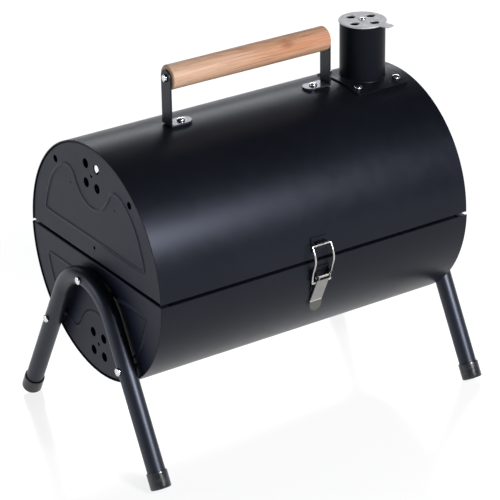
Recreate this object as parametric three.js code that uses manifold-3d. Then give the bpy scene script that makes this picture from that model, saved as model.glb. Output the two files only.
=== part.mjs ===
// Portable tabletop barrel charcoal grill: two half barrels hinged at the back, a short chimney with
// a rotating damper, a wooden handle on two straps, a toggle latch and two bent-tube leg frames.
// Units are mm. +X runs along the barrel towards the chimney, +Z is up, the latch side faces -Y.
// z = 0 is the ground and the barrel's axis is the line y = 0, z = AXIS_Z.
import * as THREE from "three";
import { mergeVertices } from "three/addons/utils/BufferGeometryUtils.js";
import Module from "manifold-3d";

const wasm = await Module();
wasm.setup();

// ---------- driving dimensions ----------
const AXIS_Z = 202; // barrel axis above the ground
const HALF_LEN = 190; // half of the barrel's length
const SHEET = 1.4; // sheet thickness of shells and end plates
const R_BASE = 127.5; // outer radius of the lower half barrel
const R_LID = 126.5; // outer radius of the lid
const SPLIT = 1.5; // each half stops this far from the split plane
const ARC_SEG = 32; // facets round each half barrel
const HEM = 8; // inward hem along the split edges
const HEM_END = 176; // hems stop short of the end plates
const PLATE_X = 189; // outer face of the end plates
const PAN = 10; // depth of an end plate's inward rim
const GAP = 0.3; // clearance between neighbouring pieces
const VENT_Z = 94.5, VENT_D = 10.4, VENT_R = 5.2; // vent cluster in every end plate
const TUBE_R = 9.5, TUBE_WALL = 1.2; // leg tube
const LEG_X = 199.8; // plane of each leg frame's centreline
const LEG_SPLAY = THREE.MathUtils.degToRad(28.5);
const LEG_ARC_R = 56, LEG_ARC_Z = -71.7; // top bend of a leg frame, from the barrel axis
const FOOT_Z = -198; // centre of a foot cap's end face, from the barrel axis
const CAP_R = 10.9, CAP_LEN = 18, CAP_FLOOR = 3;
const GRIP_R = 13, GRIP_Z = 178.2, GRIP_HALF = 97; // wooden grip
const STRAP_W = 17, STRAP_T = 2, STRAP_TOP = 186.7;
const CHIM_X = 146, CHIM_R = 24.25, CHIM_WALL = 1.2, CHIM_TOP = 184.7;
const DAMPER_R = 25.5, DAMPER_HOLE_R = 5.1, DAMPER_HOLE_PCR = 15, DAMPER_TURN = 20;
const HINGE_X = 100, HINGE_Y = 131, HINGE_R = 3, HINGE_HALF = 17;
const GRATE_Z = -20; // top plane of the cooking grate's wires, from the barrel axis
const TRAY_Z = -84; // underside of the charcoal tray, from the barrel axis

// ---------- materials ----------
const mat = (color, roughness, metalness) =>
  new THREE.MeshStandardMaterial({ color, roughness, metalness, flatShading: true });
const BLACK = mat(0x1c1e22, 0.45, 0.3);
const PLATE_BLACK = mat(0x24262b, 0.5, 0.3);
const ZINC = mat(0xb9bcc0, 0.35, 0.9);
const STEEL = mat(0xa9a7a2, 0.3, 0.95);
const CHROME = mat(0xd5d7da, 0.15, 1);
const WOOD = mat(0xc08a5c, 0.55, 0);
const RUBBER = mat(0x0e0f11, 0.3, 0);
const CHROME_WIRE = mat(0xc4c6c9, 0.2, 1);

// ---------- helpers ----------
const group = new THREE.Group();

function solid(geometry) {
  const g = geometry.clone();
  g.deleteAttribute("normal");
  g.deleteAttribute("uv");
  const m = mergeVertices(g, 1e-4);
  return new wasm.Manifold(
    new wasm.Mesh({
      numProp: 3,
      vertProperties: new Float32Array(m.attributes.position.array),
      triVerts: new Uint32Array(m.index.array),
    }),
  );
}
function add(name, body, material) {
  const m = body.getMesh();
  const n = m.numProp;
  const v = new Float32Array(m.numVert * 3);
  for (let i = 0; i < m.numVert; i++) v.set(m.vertProperties.subarray(i * n, i * n + 3), i * 3);
  const g = new THREE.BufferGeometry()
    .setAttribute("position", new THREE.BufferAttribute(v, 3))
    .setIndex(new THREE.BufferAttribute(new Uint32Array(m.triVerts), 1));
  const mesh = new THREE.Mesh(g, material);
  mesh.name = name;
  group.add(mesh);
  return mesh;
}
const V2 = (a, b) => new THREE.Vector2(a, b);
const V3 = (a, b, c) => new THREE.Vector3(a, b, c);
const basis = (x, y, z, o) => new THREE.Matrix4().makeBasis(x, y, z).setPosition(o);
const EX = V3(1, 0, 0), EY = V3(0, 1, 0), EZ = V3(0, 0, 1);
// polygon of (y, z from the axis) pairs, extruded from x0 to x1
function prismX(points, x0, x1, holes = []) {
  const outline = points.map(([a, b]) => V2(a, b));
  if (THREE.ShapeUtils.isClockWise(outline)) outline.reverse();
  const s = new THREE.Shape(outline);
  holes.forEach((h) => s.holes.push(new THREE.Path(h.map(([a, b]) => V2(a, b)))));
  const g = new THREE.ExtrudeGeometry(s, { depth: x1 - x0, bevelEnabled: false, steps: 1 });
  g.applyMatrix4(basis(EY, EZ, EX, V3(x0, 0, AXIS_Z)));
  return solid(g);
}
// polygon of (x, y) pairs, extruded between two heights from the axis
function prismZ(points, z0, z1) {
  const s = new THREE.Shape(points.map(([a, b]) => V2(a, b)));
  const g = new THREE.ExtrudeGeometry(s, { depth: z1 - z0, bevelEnabled: false, steps: 1 });
  g.applyMatrix4(basis(EX, EY, EZ, V3(0, 0, AXIS_Z + z0)));
  return solid(g);
}
// box given by its corners; z from the axis
function box(x0, x1, y0, y1, z0, z1) {
  const g = new THREE.BoxGeometry(x1 - x0, y1 - y0, z1 - z0);
  g.translate((x0 + x1) / 2, (y0 + y1) / 2, (z0 + z1) / 2 + AXIS_Z);
  return solid(g);
}
// round bar from p to q (z from the axis); twist turns its facets
function bar(p, q, r, seg = 12, twist = 0) {
  const a = V3(...p), b = V3(...q);
  const g = new THREE.CylinderGeometry(r, r, a.distanceTo(b), seg, 1, false, twist);
  const d = b.clone().sub(a).normalize();
  g.applyQuaternion(new THREE.Quaternion().setFromUnitVectors(EY, d));
  const c = a.add(b).multiplyScalar(0.5);
  g.translate(c.x, c.y, c.z + AXIS_Z);
  return solid(g);
}
// lathe profile of (radius, height) pairs stood at p along direction d
function turned(profile, p, d, seg = 12) {
  const g = new THREE.LatheGeometry(profile.map(([a, b]) => V2(a, b)), seg);
  g.applyQuaternion(new THREE.Quaternion().setFromUnitVectors(EY, V3(...d).normalize()));
  g.translate(p[0], p[1], p[2] + AXIS_Z);
  let s = solid(g);
  if (s.volume() < 0) {
    const h = new THREE.LatheGeometry(profile.slice().reverse().map(([a, b]) => V2(a, b)), seg);
    h.applyQuaternion(new THREE.Quaternion().setFromUnitVectors(EY, V3(...d).normalize()));
    h.translate(p[0], p[1], p[2] + AXIS_Z);
    s = solid(h);
  }
  return s;
}
const arc = (r, a0, a1, n) =>
  Array.from({ length: n + 1 }, (_, i) => {
    const a = a0 + ((a1 - a0) * i) / n;
    return [r * Math.cos(a), r * Math.sin(a)];
  });
const circle = (cx, cy, r, n) =>
  Array.from({ length: n }, (_, i) => [
    cx + r * Math.cos((2 * Math.PI * (i + 0.5)) / n),
    cy + r * Math.sin((2 * Math.PI * (i + 0.5)) / n),
  ]);
// a path through listed points, one extrusion step per point
class PointPath extends THREE.Curve {
  constructor(points) {
    super();
    this.p = points.map((q) => V3(q[0], q[1], q[2] + AXIS_Z));
    this.n = points.length - 1;
  }
  getPoint(t, target = new THREE.Vector3()) {
    const u = Math.min(Math.max(t, 0), 1) * this.n;
    const i = Math.min(Math.floor(u + 1e-9), this.n - 1);
    return target.copy(this.p[i]).lerp(this.p[i + 1], u - i);
  }
  getPointAt(t, target) {
    return this.getPoint(t, target);
  }
  getTangent(t, target = new THREE.Vector3()) {
    const i = Math.round(t * this.n);
    const a = this.p[Math.max(i - 1, 0)], b = this.p[i], c = this.p[Math.min(i + 1, this.n)];
    const d1 = b.clone().sub(a), d2 = c.clone().sub(b);
    if (d1.lengthSq() > 0) d1.normalize();
    if (d2.lengthSq() > 0) d2.normalize();
    return target.copy(d1.add(d2)).normalize();
  }
  getTangentAt(t, target) {
    return this.getTangent(t, target);
  }
}
function sweep(points, outer, inner = 0, seg = 12) {
  const path = new PointPath(points);
  const s = new THREE.Shape(circle(0, 0, outer, seg).map(([a, b]) => V2(a, b)));
  if (inner > 0) s.holes.push(new THREE.Path(circle(0, 0, inner, seg).map(([a, b]) => V2(a, b))));
  const g = new THREE.ExtrudeGeometry(s, { steps: path.n, extrudePath: path, bevelEnabled: false });
  return solid(g);
}
// round each inner corner of a 3-D polyline
function filleted(points, radius, n = 3) {
  const out = [points[0]];
  for (let i = 1; i < points.length - 1; i++) {
    const b = V3(...points[i]);
    const a = V3(...points[i - 1]).sub(b), c = V3(...points[i + 1]).sub(b);
    const ang = a.angleTo(c);
    const t = Math.min(radius / Math.tan(ang / 2), a.length() * 0.45, c.length() * 0.45);
    const r = t * Math.tan(ang / 2);
    a.normalize();
    c.normalize();
    const mid = a.clone().add(c).normalize();
    const o = b.clone().add(mid.clone().multiplyScalar(r / Math.sin(ang / 2)));
    const s = b.clone().add(a.multiplyScalar(t)).sub(o), e = b.clone().add(c.multiplyScalar(t)).sub(o);
    const sweepAng = s.angleTo(e);
    for (let k = 0; k <= n; k++) {
      const f = k / n;
      const w = s.clone().multiplyScalar(Math.sin((1 - f) * sweepAng) / Math.sin(sweepAng))
        .add(e.clone().multiplyScalar(Math.sin(f * sweepAng) / Math.sin(sweepAng)));
      const q = o.clone().add(w);
      out.push([q.x, q.y, q.z]);
    }
  }
  out.push(points[points.length - 1]);
  return out;
}

// pan heads of the leg bolts and of the smaller screws: (radius, height)
const PAN_M5 = [[0, 0], [4.3, 0], [4.3, 1.2], [2.8, 2.5], [0, 2.5]];
const PAN_M4 = [[0, 0], [4.2, 0], [4.2, 1], [2.7, 2.3], [0, 2.3]];

// ---------- half barrels ----------
function shellProfile(R, sign) {
  const a0 = Math.asin(SPLIT / R), ri = R - SHEET;
  const b0 = Math.asin(SPLIT / ri);
  const outer = arc(R, a0, Math.PI - a0, ARC_SEG);
  const inner = arc(ri, b0, Math.PI - b0, ARC_SEG).reverse();
  return outer.concat(inner).map(([y, z]) => [y, sign * z]);
}
function shell(R, sign) {
  let s = prismX(shellProfile(R, sign), -HALF_LEN, HALF_LEN);
  for (const side of [-1, 1]) {
    const y0 = side * (R - 0.5), y1 = side * (R - SHEET - HEM);
    const lo = Math.min(y0, y1), hi = Math.max(y0, y1);
    const z0 = sign > 0 ? SPLIT : -SPLIT - SHEET;
    s = s.add(box(-HEM_END, HEM_END, lo, hi, z0, z0 + SHEET));
  }
  return s;
}
const onBarrel = (R, deg) => [R * Math.cos(THREE.MathUtils.degToRad(deg)), R * Math.sin(THREE.MathUtils.degToRad(deg))];

// ---------- end plates ----------
function dShape(R, z0, sign, n = ARC_SEG) {
  const a = Math.asin(z0 / R);
  return arc(R, a, Math.PI - a, n).map(([y, z]) => [y, sign * z]);
}
// centreline of the stamped stiffening bead, above the axis; mirrored for the base
const BEAD = [
  [-92, 25], [-46, 25], [0, 25], [46, 25], [92, 25], [96, 30], [91, 46], [80, 68], [66, 82], [56, 89], [45, 91], [36, 86], [30, 76], [20, 65], [8, 60],
  [0, 59], [-8, 60], [-20, 65], [-30, 76], [-36, 86], [-45, 91], [-56, 89], [-66, 82], [-80, 68], [-91, 46], [-96, 30],
];
const BEAD_W = 2.2, BEAD_H = 0.9;
function beadRing(sign) {
  const n = BEAD.length;
  const off = (d) =>
    BEAD.map((p, i) => {
      const a = BEAD[(i + n - 1) % n], b = BEAD[(i + 1) % n];
      const t = V2(b[0] - a[0], b[1] - a[1]).normalize();
      return [p[0] + t.y * d, (p[1] - t.x * d) * sign];
    });
  return { outer: off(BEAD_W), inner: off(-BEAD_W) };
}
function endPlate(R, sign, side, extra) {
  // built for the +X end, then mirrored
  let s = prismX(dShape(R - SHEET - GAP, SPLIT, sign), PLATE_X - PAN, PLATE_X);
  s = s.subtract(prismX(dShape(R - 2 * SHEET - GAP, SPLIT + SHEET, sign), PLATE_X - PAN - 1, PLATE_X - SHEET));
  const ring = beadRing(sign);
  s = s.add(prismX(ring.outer, PLATE_X - 0.5, PLATE_X + BEAD_H, [ring.inner]));
  const hole = (y, z, r, n) => {
    s = s.subtract(prismX(circle(y, z, r, n), PLATE_X - 5, PLATE_X + 5));
  };
  for (const i of [-1, 1]) for (const j of [-1, 1]) hole(i * VENT_D, sign * (VENT_Z + j * VENT_D), VENT_R, 10);
  hole(0, sign * VENT_Z, 2, 6);
  for (const h of extra) hole(h[0], sign * h[1], h[2], 6);
  if (side < 0) s = s.mirror([1, 0, 0]);
  return s;
}
const LEG_BOLTS = [["top", 0, -15.5], ["front", -72.6, -88.5], ["back", 72.6, -88.5]];

// lower half
const CHIM_SCREWS = [[-25, -12], [25, -12], [-25, 12], [25, 12]]; // offset along x, degrees from vertical
{
  let base = shell(R_BASE, -1);
  for (const sx of [-1, 1])
    for (const dx of [-11, 11]) {
      const [y, z] = onBarrel(1, -7);
      base = base.subtract(bar([sx * HINGE_X + dx, y * 120, z * 120], [sx * HINGE_X + dx, y * 132, z * 132], 2.2, 6));
    }
  for (const dx of [-5.5, 5.5]) {
    const [y, z] = onBarrel(1, 180 + 14);
    base = base.subtract(bar([dx, y * 120, z * 120], [dx, y * 132, z * 132], 1.9, 6));
  }
  add("base_shell", base, BLACK);
  for (const [name, side] of [["left", -1], ["right", 1]])
    add("base_end_plate_" + name, endPlate(R_BASE, -1, side, LEG_BOLTS.map(([, y, z]) => [y, -z, 3])), PLATE_BLACK);
}

// ---------- leg frames ----------
const LEG_T = (LEG_ARC_Z + LEG_ARC_R * Math.sin(LEG_SPLAY) - FOOT_Z) / Math.cos(LEG_SPLAY);
const legTan = [LEG_ARC_R * Math.cos(LEG_SPLAY), LEG_ARC_Z + LEG_ARC_R * Math.sin(LEG_SPLAY)];
const along = (t) => [legTan[0] + Math.sin(LEG_SPLAY) * t, legTan[1] - Math.cos(LEG_SPLAY) * t];
const footEnd = along(LEG_T);
for (const [name, side] of [["left", -1], ["right", 1]]) {
  const x = side * LEG_X;
  const end = along(LEG_T - CAP_FLOOR - GAP);
  const path = [[x, end[0], end[1]]];
  const top = arc(LEG_ARC_R, LEG_SPLAY, Math.PI - LEG_SPLAY, 10).map(([y, z]) => [x, y, z + LEG_ARC_Z]);
  path.push(...top, [x, -end[0], end[1]]);
  let leg = sweep(path, TUBE_R, TUBE_R - TUBE_WALL, 10);
  for (const [, y, z] of LEG_BOLTS) leg = leg.subtract(bar([x - 15, y, z], [x + 15, y, z], 3, 6));
  add("leg_frame_" + name, leg, BLACK);
  for (const [where, sy] of [["front", -1], ["back", 1]]) {
    const profile = [[0, 0], [CAP_R - 1, 0], [CAP_R, 1], [CAP_R, CAP_LEN], [9.9, CAP_LEN], [9.9, CAP_FLOOR], [0, CAP_FLOOR]];
    let cap = turned(profile, [x, sy * footEnd[0], footEnd[1]], [0, -sy * Math.sin(LEG_SPLAY), Math.cos(LEG_SPLAY)], 14);
    cap = cap.subtract(box(x - 30, x + 30, sy * footEnd[0] - 40, sy * footEnd[0] + 40, -AXIS_Z - 20, -AXIS_Z));
    add("foot_cap_" + name + "_" + where, cap, RUBBER);
  }
  for (const [where, y, z] of LEG_BOLTS) {
    const o = side * (LEG_X + TUBE_R + GAP);
    const head = turned(PAN_M5, [o, y, z], [side, 0, 0], 8);
    const shank = bar([o + side * 0.5, y, z], [side * (PLATE_X - SHEET - GAP - 4.2), y, z], 2.4, 6);
    const nut = bar([side * (PLATE_X - SHEET - GAP), y, z], [side * (PLATE_X - SHEET - GAP - 3.6), y, z], 4.3, 6);
    add("leg_bolt_" + name + "_" + where, head.add(shank).add(nut), CHROME);
  }
}

// ---------- lid ----------
{
  let lid = shell(R_LID, 1);
  lid = lid.subtract(bar([CHIM_X, 0, 100], [CHIM_X, 0, 150], CHIM_R + 0.8, 20));
  for (const [dx, a] of CHIM_SCREWS) {
    const [z, y] = onBarrel(1, a);
    lid = lid.subtract(bar([CHIM_X + dx, y * 118, z * 118], [CHIM_X + dx, y * 134, z * 134], 2.6, 6));
  }
  for (const s of [-1, 1]) lid = lid.subtract(bar([s * 82, 0, 115], [s * 82, 0, 140], 2.6, 6));
  for (const sx of [-1, 1]) {
    for (const dx of [-11, 11]) {
      const [y, z] = onBarrel(1, 7);
      lid = lid.subtract(bar([sx * HINGE_X + dx, y * 120, z * 120], [sx * HINGE_X + dx, y * 132, z * 132], 2.2, 6));
    }
    const [y, z] = onBarrel(1, 19); // rear air hole
    lid = lid.subtract(bar([sx * 117, y * 118, z * 118], [sx * 117, y * 132, z * 132], 7, 12));
  }
  for (const dx of [-6, 6]) {
    const [y, z] = onBarrel(1, 180 - 7.8);
    lid = lid.subtract(bar([dx, y * 118, z * 118], [dx, y * 132, z * 132], 1.9, 6));
  }
  add("lid_shell", lid, BLACK);
  const extra = [[0, 15.3, 2], [72, 88.5, 4], [-72, 88.5, 4]];
  for (const [name, side] of [["left", -1], ["right", 1]])
    add("lid_end_plate_" + name, endPlate(R_LID, 1, side, extra), PLATE_BLACK);
}

// ---------- handle ----------
{
  let grip = turned(
    [[0, -GRIP_HALF + GAP], [GRIP_R - 1, -GRIP_HALF + GAP], [GRIP_R, -GRIP_HALF + 1.3], [GRIP_R, GRIP_HALF - 1.3], [GRIP_R - 1, GRIP_HALF - GAP], [0, GRIP_HALF - GAP]],
    [0, 0, GRIP_Z], [1, 0, 0], 16);
  for (const s of [-1, 1]) grip = grip.subtract(bar([s * 75, 0, GRIP_Z], [s * 99, 0, GRIP_Z], 2.1, 8));
  add("handle_grip", grip, WOOD);
  for (const [name, s] of [["left", -1], ["right", 1]]) {
    const w = STRAP_W / 2;
    const outline = arc(w, 0, Math.PI, 10).map(([y, z]) => [y, z + STRAP_TOP - w]).concat([[-w, R_LID + GAP], [w, R_LID + GAP]]);
    let strap = s > 0 ? prismX(outline, GRIP_HALF, GRIP_HALF + STRAP_T) : prismX(outline, -GRIP_HALF - STRAP_T, -GRIP_HALF);
    const toe = 78, rr = w;
    const foot = arc(rr, Math.PI / 2, (3 * Math.PI) / 2, 8).map(([x, y]) => [x + toe, y]).concat([[GRIP_HALF + STRAP_T, -w], [GRIP_HALF + STRAP_T, w]]);
    let pad = prismZ(foot, R_LID + GAP, R_LID + GAP + STRAP_T);
    if (s < 0) pad = pad.mirror([1, 0, 0]);
    strap = strap.add(pad);
    strap = strap.subtract(bar([s * 90, 0, GRIP_Z], [s * 105, 0, GRIP_Z], 2.3, 8));
    strap = strap.subtract(bar([s * 82, 0, R_LID - 5], [s * 82, 0, R_LID + 10], 2.6, 6));
    add("handle_strap_" + name, strap, BLACK);
    const o = s * (GRIP_HALF + STRAP_T + GAP);
    const head = turned(PAN_M4, [o, 0, GRIP_Z], [s, 0, 0], 8);
    add("grip_screw_" + name, head.add(bar([o + s * 0.5, 0, GRIP_Z], [s * 78, 0, GRIP_Z], 1.7, 6)), CHROME);
    const zf = R_LID + GAP + STRAP_T + GAP;
    const fh = turned(PAN_M4, [s * 82, 0, zf], [0, 0, 1], 8);
    const fs = bar([s * 82, 0, zf + 0.5], [s * 82, 0, R_LID - SHEET - GAP - 4], 2, 6);
    const fn = bar([s * 82, 0, R_LID - SHEET - GAP - 0.2], [s * 82, 0, R_LID - SHEET - GAP - 3.4], 3.9, 6);
    add("strap_screw_" + name, fh.add(fs).add(fn), CHROME);
  }
}

// ---------- chimney ----------
{
  // the lathe stands on +Y, so it is turned upright
  const g = new THREE.LatheGeometry([V2(CHIM_R - CHIM_WALL, 118), V2(CHIM_R, 118), V2(CHIM_R, CHIM_TOP), V2(CHIM_R - CHIM_WALL, CHIM_TOP), V2(CHIM_R - CHIM_WALL, 118)], 20);
  g.rotateX(Math.PI / 2);
  g.translate(CHIM_X, 0, AXIS_Z);
  let t = solid(g);
  if (t.volume() < 0) throw new Error("chimney tube is inside out");
  add("chimney_tube", t, BLACK);
  // base plate follows the lid
  const half = Math.asin(38 / (R_LID + GAP));
  const strip = arc(R_LID + GAP + SHEET, Math.PI / 2 - half, Math.PI / 2 + half, 8).concat(arc(R_LID + GAP + 0.1, Math.PI / 2 - half, Math.PI / 2 + half, 8).reverse());
  let plate = prismX(strip, CHIM_X - 34, CHIM_X + 34);
  plate = plate.subtract(bar([CHIM_X, 0, 100], [CHIM_X, 0, 150], CHIM_R + 0.8, 20));
  for (const [dx, a] of CHIM_SCREWS) {
    const [z, y] = onBarrel(1, a);
    plate = plate.subtract(bar([CHIM_X + dx, y * 118, z * 118], [CHIM_X + dx, y * 134, z * 134], 2.6, 6));
  }
  add("chimney_base_plate", plate, BLACK);
  CHIM_SCREWS.forEach(([dx, a], i) => {
    const [z, y] = onBarrel(1, a);
    const d = [0, y, z], x = CHIM_X + dx, r0 = R_LID + GAP + SHEET + GAP;
    const head = turned(PAN_M4, [x, y * r0, z * r0], d, 8);
    const shank = bar([x, y * (r0 + 0.5), z * (r0 + 0.5)], [x, y * 120.6, z * 120.6], 2, 6);
    const nut = bar([x, y * 124.3, z * 124.3], [x, y * 121.1, z * 121.1], 3.9, 6);
    add("chimney_screw_" + ["front_left", "front_right", "back_left", "back_right"][i], head.add(shank).add(nut), CHROME);
  });
  const capZ = CHIM_TOP + GAP;
  const holes = (s, turn, r) => {
    for (let k = 0; k < 4; k++) {
      const a = THREE.MathUtils.degToRad(turn + 90 * k);
      s = s.subtract(bar([CHIM_X + DAMPER_HOLE_PCR * Math.cos(a), DAMPER_HOLE_PCR * Math.sin(a), capZ - 10], [CHIM_X + DAMPER_HOLE_PCR * Math.cos(a), DAMPER_HOLE_PCR * Math.sin(a), capZ + 10], r, 10));
    }
    return s;
  };
  const disc = (r, n) => circle(CHIM_X, 0, r, n);
  let topPlate = prismZ(disc(CHIM_R, 20), capZ, capZ + 1.2);
  topPlate = holes(topPlate, DAMPER_TURN, DAMPER_HOLE_R).subtract(bar([CHIM_X, 0, capZ - 5], [CHIM_X, 0, capZ + 5], 1.8, 8));
  add("chimney_top_plate", topPlate, BLACK);
  const dz = capZ + 1.2 + GAP;
  let damper = prismZ(disc(DAMPER_R, 24), dz, dz + 1.2);
  const ta = THREE.MathUtils.degToRad(-70);
  const rot = (u, v) => [CHIM_X + u * Math.cos(ta) - v * Math.sin(ta), u * Math.sin(ta) + v * Math.cos(ta)];
  damper = damper.add(prismZ([rot(20, -6), rot(36.2, -5.2), rot(37, -4.4), rot(37, 4.4), rot(36.2, 5.2), rot(20, 6)], dz, dz + 1.2));
  damper = holes(damper, DAMPER_TURN, DAMPER_HOLE_R).subtract(bar([CHIM_X, 0, dz - 5], [CHIM_X, 0, dz + 5], 1.8, 12));
  add("damper_disc", damper, ZINC);
  const top = dz + 1.2 + GAP;
  const head = turned([[0, 0], [3.6, 0], [3.6, 0.9], [2.4, 2], [0, 2]], [CHIM_X, 0, top], [0, 0, 1], 8);
  const shank = bar([CHIM_X, 0, top + 0.5], [CHIM_X, 0, capZ - 5], 1.65, 10);
  const nut = bar([CHIM_X, 0, capZ - 0.4], [CHIM_X, 0, capZ - 3.4], 3.6, 6);
  add("damper_screw", head.add(shank).add(nut), CHROME);
}

// ---------- hinges ----------
for (const [name, sx] of [["left", -1], ["right", 1]]) {
  const cx = sx * HINGE_X;
  const leaf = (sign, R) => {
    const a0 = (3.2 * Math.PI) / 180, a1 = (11 * Math.PI) / 180;
    const strip = arc(R + GAP + 1.5, a0, a1, 3).concat(arc(R + GAP + 0.1, a0, a1, 3).reverse()).map(([y, z]) => [y, sign * z]);
    let s = prismX(strip, cx - HINGE_HALF, cx + HINGE_HALF);
    const third = (2 * HINGE_HALF) / 3;
    const spans = sign > 0 ? [[cx - third / 2 + 0.2, cx + third / 2 - 0.2]] : [[cx - HINGE_HALF, cx - third / 2 - 0.2], [cx + third / 2 + 0.2, cx + HINGE_HALF]];
    for (const [a, b] of spans) {
      let k = bar([a, HINGE_Y, 0], [b, HINGE_Y, 0], HINGE_R, 10);
      const w = [[R + GAP + 0.1, sign * 7.4], [R + GAP + 1.5, sign * 7.4], [HINGE_Y + 1.2, sign * 2.2], [HINGE_Y - 1.6, sign * 1.9], [R + GAP + 0.4, sign * 4.6]];
      k = k.add(prismX(w, a, b));
      s = s.add(k);
    }
    s = s.subtract(bar([cx - 30, HINGE_Y, 0], [cx + 30, HINGE_Y, 0], 1.64, 12));
    for (const dx of [-11, 11]) {
      const [y, z] = onBarrel(1, 7);
      const p = (r) => [cx + dx, y * r, sign * z * r];
      s = s.add(bar(p(R - SHEET - 1.6), p(R + GAP + 1), 1.7, 6));
      s = s.add(bar(p(R + GAP + 1), p(R + GAP + 2.7), 3, 6));
      s = s.add(bar(p(R - SHEET - 1.9), p(R - SHEET - 0.7), 3, 6));
    }
    return s;
  };
  add("hinge_leaf_lower_" + name, leaf(-1, R_BASE), ZINC);
  add("hinge_leaf_upper_" + name, leaf(1, R_LID), ZINC);
  const pin = bar([cx - HINGE_HALF - 0.5, HINGE_Y, 0], [cx + HINGE_HALF + 0.5, HINGE_Y, 0], 1.5, 12);
  const h1 = bar([cx + HINGE_HALF + 0.3, HINGE_Y, 0], [cx + HINGE_HALF + 1.6, HINGE_Y, 0], 2.4, 8);
  const h2 = bar([cx - HINGE_HALF - 0.3, HINGE_Y, 0], [cx - HINGE_HALF - 1.6, HINGE_Y, 0], 2.4, 8);
  add("hinge_pin_" + name, pin.add(h1).add(h2), ZINC);
}

// ---------- toggle latch, at x = 0 on the front ----------
const PIVOT = [-133, -17]; // lever pivot (y, z)
const BAIL = [-129.3, -24.4]; // where the bail hooks into the lever
{
  const r0 = R_BASE + GAP;
  const a0 = Math.PI + THREE.MathUtils.degToRad(3.4), a1 = Math.PI + THREE.MathUtils.degToRad(16.2);
  const strip = arc(r0 + 1, a0, a1, 4).concat(arc(r0 + 0.1, a0, a1, 4).reverse());
  let bracket = prismX(strip, -10, 10);
  for (const s of [-1, 1]) {
    const ear = [[-127.6 - GAP, -10], [-129.5, -10], [-134.5, -13.6], [-136.2, -16], [-136, -18.8], [-134, -20.6], [-131, -20.8], [-126.9 - GAP, -20.8]];
    bracket = bracket.add(s > 0 ? prismX(ear, 7.9, 9.1) : prismX(ear, -9.1, -7.9));
  }
  bracket = bracket.subtract(bar([-20, ...PIVOT], [20, ...PIVOT], 1.64, 12));
  for (const dx of [-5.5, 5.5]) {
    const [y, z] = onBarrel(1, 180 + 14);
    bracket = bracket.add(bar([dx, y * (R_BASE - SHEET - 1.5), z * (R_BASE - SHEET - 1.5)], [dx, y * (r0 + 0.8), z * (r0 + 0.6)], 1.4, 6));
    bracket = bracket.add(bar([dx, y * (R_BASE - SHEET - 1.7), z * (R_BASE - SHEET - 1.7)], [dx, y * (R_BASE - SHEET - 0.7), z * (R_BASE - SHEET - 0.7)], 2.4, 6));
  }
  add("latch_bracket", bracket, STEEL);
  const pin = bar([-9.6, ...PIVOT], [9.6, ...PIVOT], 1.5, 12);
  add("latch_pivot_pin", pin, STEEL);

  // lever: face plate with two cheeks, bent at the bottom into a rounded tongue
  const face = [[-132.6, -21.5], [-131.5, -21.1], [-118.6, -49.6], [-117.2, -62], [-118.4, -62.1], [-119.8, -50.2]];
  let lever = prismX(face, -7.4, 7.4);
  // round the tongue
  const tongue = [];
  for (let i = 0; i <= 10; i++) {
    const a = Math.PI + (Math.PI * i) / 10;
    tongue.push([7.4 * Math.cos(a), -54.8 + 7.4 * Math.sin(a)]);
  }
  const outline = [[7.4, -15], ...[...tongue].reverse(), [-7.4, -15]];
  const s = new THREE.Shape(outline.map(([x, z]) => V2(x, z)));
  const g = new THREE.ExtrudeGeometry(s, { depth: 60, bevelEnabled: false });
  g.applyMatrix4(basis(EX, EZ, V3(0, -1, 0), V3(0, -100, AXIS_Z)));
  lever = lever.intersect(solid(g));
  for (const d of [-1, 1]) {
    const cheek = [[-130.6, -14.8], [-133, -13.9], [-135.4, -15], [-135.9, -17.3], [-135, -19.6], [-132.6, -21.5], [-122, -44.6], [-121.2, -43.6], [-127.6, -26.4], [-127.8, -22.6]];
    lever = lever.add(d > 0 ? prismX(cheek, 6.2, 7.4) : prismX(cheek, -7.4, -6.2));
  }
  lever = lever.subtract(bar([-20, ...PIVOT], [20, ...PIVOT], 1.64, 12));
  lever = lever.subtract(bar([-20, ...BAIL], [20, ...BAIL], 1.28, 12));
  add("latch_lever", lever, STEEL);

  // bail: bent wire from cheek to cheek over the strike
  const side = (x) => [[x, ...BAIL], [x, -131.6, -11], [x, -135.6, 1.5], [x, -133.4, 9.5], [x, -129.4, 16.9]];
  const pts = [[5.6, ...BAIL], ...side(11.2), ...side(-11.2).reverse(), [-5.6, ...BAIL]];
  add("latch_bail", sweep(filleted(pts, 2.6, 2), 1.1, 0, 6), STEEL);

  // strike on the lid, behind the bail's top bar
  const b0 = Math.PI - THREE.MathUtils.degToRad(4), b1 = Math.PI - THREE.MathUtils.degToRad(11);
  const pad = arc(R_LID + GAP + 1.1, b0, b1, 3).concat(arc(R_LID + GAP + 0.1, b0, b1, 3).reverse());
  let strike = prismX(pad, -10, 10);
  strike = strike.add(prismX([[-127.2, 12.5], [-127.9, 13.2], [-127.9, 15.6], [-127.2, 16.2], [-126.3, 16], [-126.4, 12.8]], -8.5, 8.5));
  // short hood above the bail's top bar
  strike = strike.add(prismX([[-126.2, 19], [-130.9, 19], [-131.7, 19.5], [-131.3, 20.2], [-125.9, 20.4]], -6, 6));
  for (const dx of [-6, 6]) {
    const [y, z] = onBarrel(1, 180 - 7.8);
    strike = strike.add(bar([dx, y * (R_LID - SHEET - 1.5), z * (R_LID - SHEET - 1.5)], [dx, y * (R_LID + 1), z * (R_LID + 1)], 1.4, 6));
    strike = strike.add(bar([dx, y * (R_LID - SHEET - 1.7), z * (R_LID - SHEET - 1.7)], [dx, y * (R_LID - SHEET - 0.7), z * (R_LID - SHEET - 0.7)], 2.4, 6));
  }
  add("latch_strike", strike, BLACK);
}

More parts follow.
